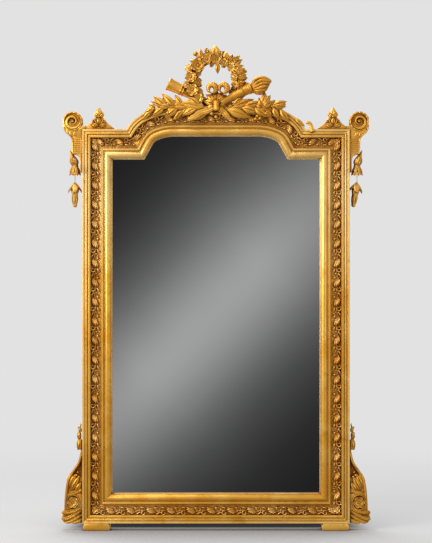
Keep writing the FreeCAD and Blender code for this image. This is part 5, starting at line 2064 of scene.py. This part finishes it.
        core = [
            ring(start + (end - start) * joint / (joints - 1), self.wreath_radius, 0)
            for joint in range(joints)]
        pieces = [Bench.tube(core, [self.wreath_core] * joints, 60, 14, flutes=5, depth=0.15)]
        for pattern, blooms in (
            (self.foliage.rose, self.roses), (self.foliage.daisy, self.daisies),
        ):
            for degrees, reach, radius in blooms:
                face = FORWARD + front_ray(math.radians(degrees)) * ((reach - 86) / 40)
                pieces.append(self.foliage.bloom(
                    pattern, ring(degrees, reach, 12), radius, face, draws.uniform(0.0, 6.0)))
        for index, (foot_x, foot_z, tip_x, tip_z, width) in enumerate(self.sprays):
            foot = centre + mm(foot_x, -15, foot_z)
            tip = centre + mm(tip_x, -draws.uniform(7.0, 14.0), tip_z)
            pattern = self.foliage.acanthus if index % 3 == 1 else None
            pieces.append(leaf(foot, tip, 1.3 * width, 12, pattern=pattern))
        for index in range(rim_leaves):
            degrees = start + (end - start) * (index + 0.5) / rim_leaves
            foot = ring(degrees, *self.rim_leaf[0])
            tip = ring(degrees + draws.uniform(-16.0, 16.0), *self.rim_leaf[1])
            face = front_ray(math.radians(degrees)) - FORWARD * 0.5
            pieces.append(leaf(foot, tip, *self.rim_leaf_size, face))
        pieces.append(Bench.berry(centre + mm(*self.side_berry), 9))
        for _ in range(berries):
            degrees, reach = draws.uniform(start, end), draws.uniform(72.0, 106.0)
            place = ring(degrees, reach, draws.uniform(14.0, 19.0))
            pieces.append(Bench.berry(place, draws.uniform(3.4, 5.0)))
        whole = Bench.joined(pieces)
        for vertex in whole.data.vertices:
            vertex.co.y = min(vertex.co.y, limit)
        return self.dressed(whole, "carved_wreath", ["wreath"])

    def torch(self) -> list[Piece]:
        """Turns the torch with its rings and carves its swirling flame.

        Returns:
            The torch and the flame.
        """
        depth = self.datum.back / MM - 38
        foot, cup = (self.at(*end, depth) for end in self.torch_ends)
        length = (cup - foot).length / MM
        outline = [*self.torch_foot, *((wide, share * length) for wide, share in self.torch_shares)]
        outline += [(18, length + 1), (0, length)]
        torch = Bench.rounded(Bench.turning(outline, foot, cup - foot, 40), 0.0008)
        core = [self.at(*point, depth) for point in self.flame_core]
        pieces = [Bench.tube(core, self.core_sizes, 24, 24)]
        for tongue, swell in zip(self.tongues, self.swells):
            for side in (1, -1):
                spine = [
                    self.at(*point, depth - side * swell * bulge)
                    for point, bulge in zip(tongue, self.bulges)]
                pieces.append(Bench.tube(spine, self.tongue_sizes, 24, 14, FORWARD * side))
        return [
            self.dressed(Bench.smoothed(torch, 35.0), "carved_torch", ["torch"]),
            self.dressed(Bench.joined(pieces), "carved_flame", ["torch_flame"]),
        ]

    def quiver(self) -> Piece:
        """Turns the quiver with its two rings and open mouth, flat at the back.

        Returns:
            The quiver.
        """
        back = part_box("quiver")[1].y
        depth = self.datum.back / MM - 10
        foot, mouth = (self.at(*end, depth) for end in self.quiver_ends)
        heading = (mouth - foot).normalized()
        length = (mouth - foot).length / MM

        def radius(height: float) -> float:
            """Radius of the plain quiver at a height in millimetres."""
            return self.quiver_foot + self.quiver_taper * height / length

        outline = [(0, 0), (radius(0), 0), (radius(0.3 * length), 0.3 * length)]
        for ring in (length - drop for drop in self.quiver_rings):
            outline += [(radius(ring) + out, ring + up) for out, up in self.quiver_ring]
        outline += [(radius(length) + out, length + up) for out, up in self.quiver_mouth]
        outline.append((0, length - 14))
        quiver = Bench.turning(outline, foot, heading, 40)
        for vertex in quiver.data.vertices:
            spot = vertex.co - foot
            height = spot.dot(heading)
            aside = (spot - heading * height).length / MM
            hollow = height / MM > length - 15 and aside < radius(length) - 3
            vertex.co.y = min(vertex.co.y, back - 0.004 if hollow else back)
        quiver = Bench.smoothed(Bench.rounded(quiver, 0.0007), 35.0)
        return self.dressed(quiver, "carved_quiver", ["quiver"])

    def bow(self) -> list[Piece]:
        """Carves the bow's two pleated loops and the folds under them.

        Returns:
            The bow's pieces.
        """
        pieces, steps = [], 40
        for middle_x, middle_z, hole_x, hole_z, side in self.loops:
            spine, sizes = [], []
            for step in range(steps + 1):
                angle = math.radians(-90 - 20 * side) + side * math.tau * step / steps
                east, north = math.cos(angle), math.sin(angle)
                outer = Vector((middle_x + self.loop[0] * east, middle_z + self.loop[1] * north))
                inner = Vector((hole_x + self.hole[0] * east, hole_z + self.hole[1] * north))
                pleat = 1.0 + 0.10 * math.cos(math.pi * step / 1.5)
                spine.append(self.at(*((outer + inner) / 2.0), -36 - 2 * east * side))
                sizes.append(((outer - inner).length / 2.0, 8 * pleat))
            pieces.append(Bench.tube(spine, sizes, 100, 16))
        for *points, width in self.folds:
            foot, tip = self.at(*points[:2], -30), self.at(*points[2:], -29)
            pieces.append(self.foliage.leaf(foot, tip, width, 14))
        return pieces

    def ribbon(self) -> list[Piece]:
        """Carves the ribbon.

        Returns:
            The knot, the bow and the two tails.
        """
        spine = [self.at(1, rise, -33) for rise, _, _ in self.knot]
        sizes = [(wide, thick) for _, wide, thick in self.knot]
        knot = [Bench.tube(spine, sizes, 24, 48, flutes=10, depth=0.08)]
        for across, rise, radius in self.knot_berries:
            knot.append(Bench.berry(self.at(across, rise, -30), radius))
        knot, bow, tails = Bench.joined(knot), Bench.joined(self.bow()), []
        for tail in self.tails:
            spine = [self.at(*point, -33 - 2 * (index % 2)) for index, point in enumerate(tail)]
            tails.append(Bench.tube(spine, self.tail_sizes, 28, 36, flutes=9, depth=0.24))
        return [
            self.dressed(knot, "carved_ribbon_knot", ["ribbon_knot"]),
            self.dressed(bow, "carved_ribbon_bow", ["ribbon_bow"]),
            self.dressed(Bench.joined(tails), "carved_ribbon_tails", ["ribbon_tails"]),
        ]

    def build(self) -> list[Piece]:
        """Carves the crest.

        Returns:
            Its pieces.
        """
        draws = random.Random(self.seed)
        pieces = [self.branch(branch, draws) for branch in (LEFT_BRANCH, RIGHT_BRANCH)]
        pieces.append(self.wreath(draws))
        return pieces + self.torch() + [self.quiver()] + self.ribbon()


# Studio


@dataclass(frozen=True)
class Softbox:
    """One area lamp, out of the camera's sight."""

    name: str
    place: Row
    size: Pair
    power: float
    colour: Colour

    def hang(self, aim: Vector) -> None:
        """Hangs the lamp.

        Args:
            aim: The point that it is turned to.
        """
        data = bpy.data.lights.new(self.name, "AREA")
        data.shape = "RECTANGLE"
        data.size, data.size_y = self.size
        data.energy, data.color = self.power, self.colour
        lamp = bpy.data.objects.new(self.name, data)
        bpy.context.scene.collection.objects.link(lamp)
        lamp.location = self.place
        lamp.rotation_euler = (aim - lamp.location).to_track_quat("-Z", "Y").to_euler()
        lamp.visible_camera = False


@dataclass
class Studio:
    """Plain pale floor, soft light and the camera that stands where the photograph was taken."""

    backdrop: float = 0.76
    ambient: float = 0.44
    distance: float = 6.0
    height: float = 0.9576
    view_height: float = 2.0037
    sensor: float = 36.0
    floor_radius: float = 3.2
    floor_colour: Colour = (0.28, 0.28, 0.282)
    # Painted light: the floor glows evenly with this colour, on top of its lit colour.
    floor_glow: Colour = (0.455, 0.457, 0.462)
    # Painted shadow: the darkest colour that the floor takes round the frame's foot and at its back.
    painted_shadow_colour: Colour = (0.02, 0.02, 0.02)
    room_colours: tuple[Colour, Colour] = ((0.23, 0.20, 0.150), (0.80, 0.78, 0.74))
    sheen_slope: float = 2.65
    sheen_shift: float = 0.438
    sheen_tint: Colour = (1.0, 0.995, 0.985)
    sheen_stops: tuple[Pair, ...] = (
        (-1.0, 0.40), (-0.6, 0.17), (-0.25, 0.012), (0.0, 0.012), (0.16, 0.018), (0.27, 0.060),
        (0.38, 0.190), (0.5, 0.480), (0.62, 0.190), (0.72, 0.070), (0.84, 0.022), (1.0, 0.012),
        (1.25, 0.012), (1.6, 0.17), (2.0, 0.40))
    aim: Row = (0.0, 0.0, 1.0)
    lamps: tuple[Softbox, ...] = (
        Softbox("key_softbox", (-2.7, -2.5, 1.9), (1.4, 2.0), 82.0, (1.0, 0.97, 0.90)),
        Softbox("fill_softbox", (2.8, -3.0, 1.0), (1.6, 2.2), 18.0, (1.0, 0.93, 0.84)),
        Softbox("back_softbox", (-0.8, 1.3, 3.4), (1.6, 1.0), 46.0, (1.0, 0.99, 0.97)),
        Softbox("top_softbox", (-0.8, -1.1, 3.6), (1.6, 1.0), 22.0, (1.0, 0.99, 0.97)),
    )

    def camera(self) -> None:
        """Sets up the long-lens camera square to the mirror."""
        data = bpy.data.cameras.new("studio_camera")
        data.sensor_width = data.sensor_height = self.sensor
        data.lens = self.sensor * self.distance / self.view_height
        camera = bpy.data.objects.new("studio_camera", data)
        bpy.context.scene.collection.objects.link(camera)
        camera.location = (0.0, -self.distance - 0.02, self.height)
        camera.rotation_euler = (math.pi / 2.0, 0.0, 0.0)
        bpy.context.scene.camera = camera

    def floor(self) -> None:
        """Lays the floor disc, which fades into the backdrop and isn't seen in the plate; it glows
        evenly as painted light, with painted shadows round the frame's foot and at its back.
        """
        bpy.ops.mesh.primitive_circle_add(
            vertices=96, radius=self.floor_radius, fill_type="NGON")
        floor = bpy.context.object
        floor.name = "studio_floor"
        desk = CoatDesk("pale_floor")
        across, depth, _ = desk.split()
        # Painted shadow: a dark strip on the floor at the frame's back, from 35 mm to 340 mm back,
        # fading out beyond 0.46 m to each side.
        shadow_bands = desk.ranged(depth, 0.035, 0.085), desk.ranged(depth, 0.34, 0.15)
        inside = desk.ranged(desk.maths("ABSOLUTE", across), 0.58, 0.46)
        painted_shadow_behind = desk.maths("MULTIPLY", desk.maths("MULTIPLY", *shadow_bands), inside)
        # Painted shadow at the frame's foot: darker where the AO finds the floor closed in within 22
        # mm, and across the dark strip at its back.
        painted_contact_shadow = desk.maths(
            "MULTIPLY", desk.ranged(desk.hollows(0.022), 0.15, 0.85),
            desk.maths("SUBTRACT", 1.0, painted_shadow_behind))
        # Painted shade: the glow darkens further where the AO finds the floor closed in within 0.6 m.
        shade = desk.maths("MULTIPLY", painted_contact_shadow, desk.ranged(desk.hollows(0.60), 0.44, 0.98))
        reach = desk.node("VectorMath", {0: desk.coordinates}, operation="LENGTH").outputs["Value"]
        # Both the base colour and the glow carry these painted shadows.
        desk.dress(
            Base_Color=desk.blend(painted_contact_shadow, self.painted_shadow_colour, self.floor_colour),
            Emission_Color=desk.blend(shade, self.painted_shadow_colour, self.floor_glow),
            Emission_Strength=1.0, Roughness=0.9, Specular_IOR_Level=0.0,
            Alpha=desk.ranged(reach, 0.9, self.floor_radius * 0.97, 1.0, 0.0),
        )
        floor.data.materials.append(desk.material)
        floor.visible_glossy = False

    def sheen(self, desk: NodeDesk) -> Socket:
        """Paints what the plate reflects: a bright diagonal, dimmer towards its ends.

        Args:
            desk: The world's nodes.

        Returns:
            The colour socket.
        """
        across, depth, up = desk.split()
        stops = self.sheen_stops
        first, span = stops[0][0], stops[-1][0] - stops[0][0]
        forward = desk.maths("MAXIMUM", desk.maths("MULTIPLY", depth, -1.0), 0.05)
        slope = desk.maths("DIVIDE", desk.maths("SUBTRACT", across, up), forward)
        ramp = desk.node("ValToRGB", {0: desk.maths(
            "ADD", desk.maths("MULTIPLY", slope, self.sheen_slope / span),
            (self.sheen_shift - first) / span)})
        ramp.color_ramp.interpolation = "B_SPLINE"
        marks = ramp.color_ramp.elements
        for index, (place, value) in enumerate(stops):
            position = (place - first) / span
            mark = marks[index] if index < 2 else marks.new(position)
            mark.position = position
            mark.color = (*(value * part for part in self.sheen_tint), 1.0)
        diagonal = desk.maths("DIVIDE", desk.maths("ADD", across, up), forward)
        reach = desk.maths("ABSOLUTE", desk.maths("ADD", diagonal, 0.035))
        dimming = desk.ranged(reach, 0.07, 0.16, 1.0, 0.68, "LINEAR")
        return desk.blend(1.0, ramp.outputs[0], dimming, "MULTIPLY")

    def world(self) -> None:
        """Paints the room: an even backdrop, soft light, and reflections in gold and glass."""
        world = bpy.data.worlds.new("studio")
        bpy.context.scene.world = world
        desk = NodeDesk(world, "Generated", False)
        across, _, up = desk.split()
        lift = desk.maths("SUBTRACT", up, desk.maths("MULTIPLY", across, 0.7))
        room = desk.node(
            "ValToRGB", {0: desk.maths("ADD", desk.maths("MULTIPLY", lift, 0.45), 0.5)})
        for mark, colour in zip(room.color_ramp.elements, self.room_colours):
            mark.color = (*colour, 1.0)
        colours = (
            room.outputs[0], self.sheen(desk), (self.ambient,) * 3, (self.backdrop,) * 3)
        gold, glass, ambient, backdrop = (
            desk.node("Background", {"Color": colour}).outputs[0] for colour in colours)
        path = desk.node("LightPath", {}).outputs

        def mixed(ray: str, others: Socket, own: Socket) -> Socket:
            """Background of one kind of ray, over that of the others."""
            return desk.node("MixShader", {0: path[ray], 1: others, 2: own}).outputs[0]

        lit = mixed("Is Glossy Ray", ambient, mixed("Is Singular Ray", gold, glass))
        desk.node("OutputWorld", {"Surface": mixed("Is Camera Ray", lit, backdrop)})

    def build(self) -> None:
        """Sets up camera, floor, room and lamps."""
        bpy.context.scene.view_settings.view_transform = "Standard"
        self.camera()
        self.floor()
        self.world()
        for lamp in self.lamps:
            lamp.hang(Vector(self.aim))


def main() -> None:
    """Builds the studio and every sub-assembly."""
    logging.basicConfig(level=logging.INFO, format="%(message)s")
    Studio().build()
    datum = Datum.of_frame()
    finishes = Finishes.mixed()
    foliage = Foliage()
    for kind in (MouldedFrame, CarvedFrieze, PlateAndBack, Feet, Palmettes, UpperConsoles,
                 LeafDrops, LowerConsoles, Crest):
        for piece in kind(datum, finishes, foliage).build():
            LOG.info("%s: %s, %d faces", kind.__name__, piece.name, len(piece.data.polygons))
    Bench.discard(foliage.patterns)
    bpy.context.view_layer.update()


if __name__ == "__main__":
    main()
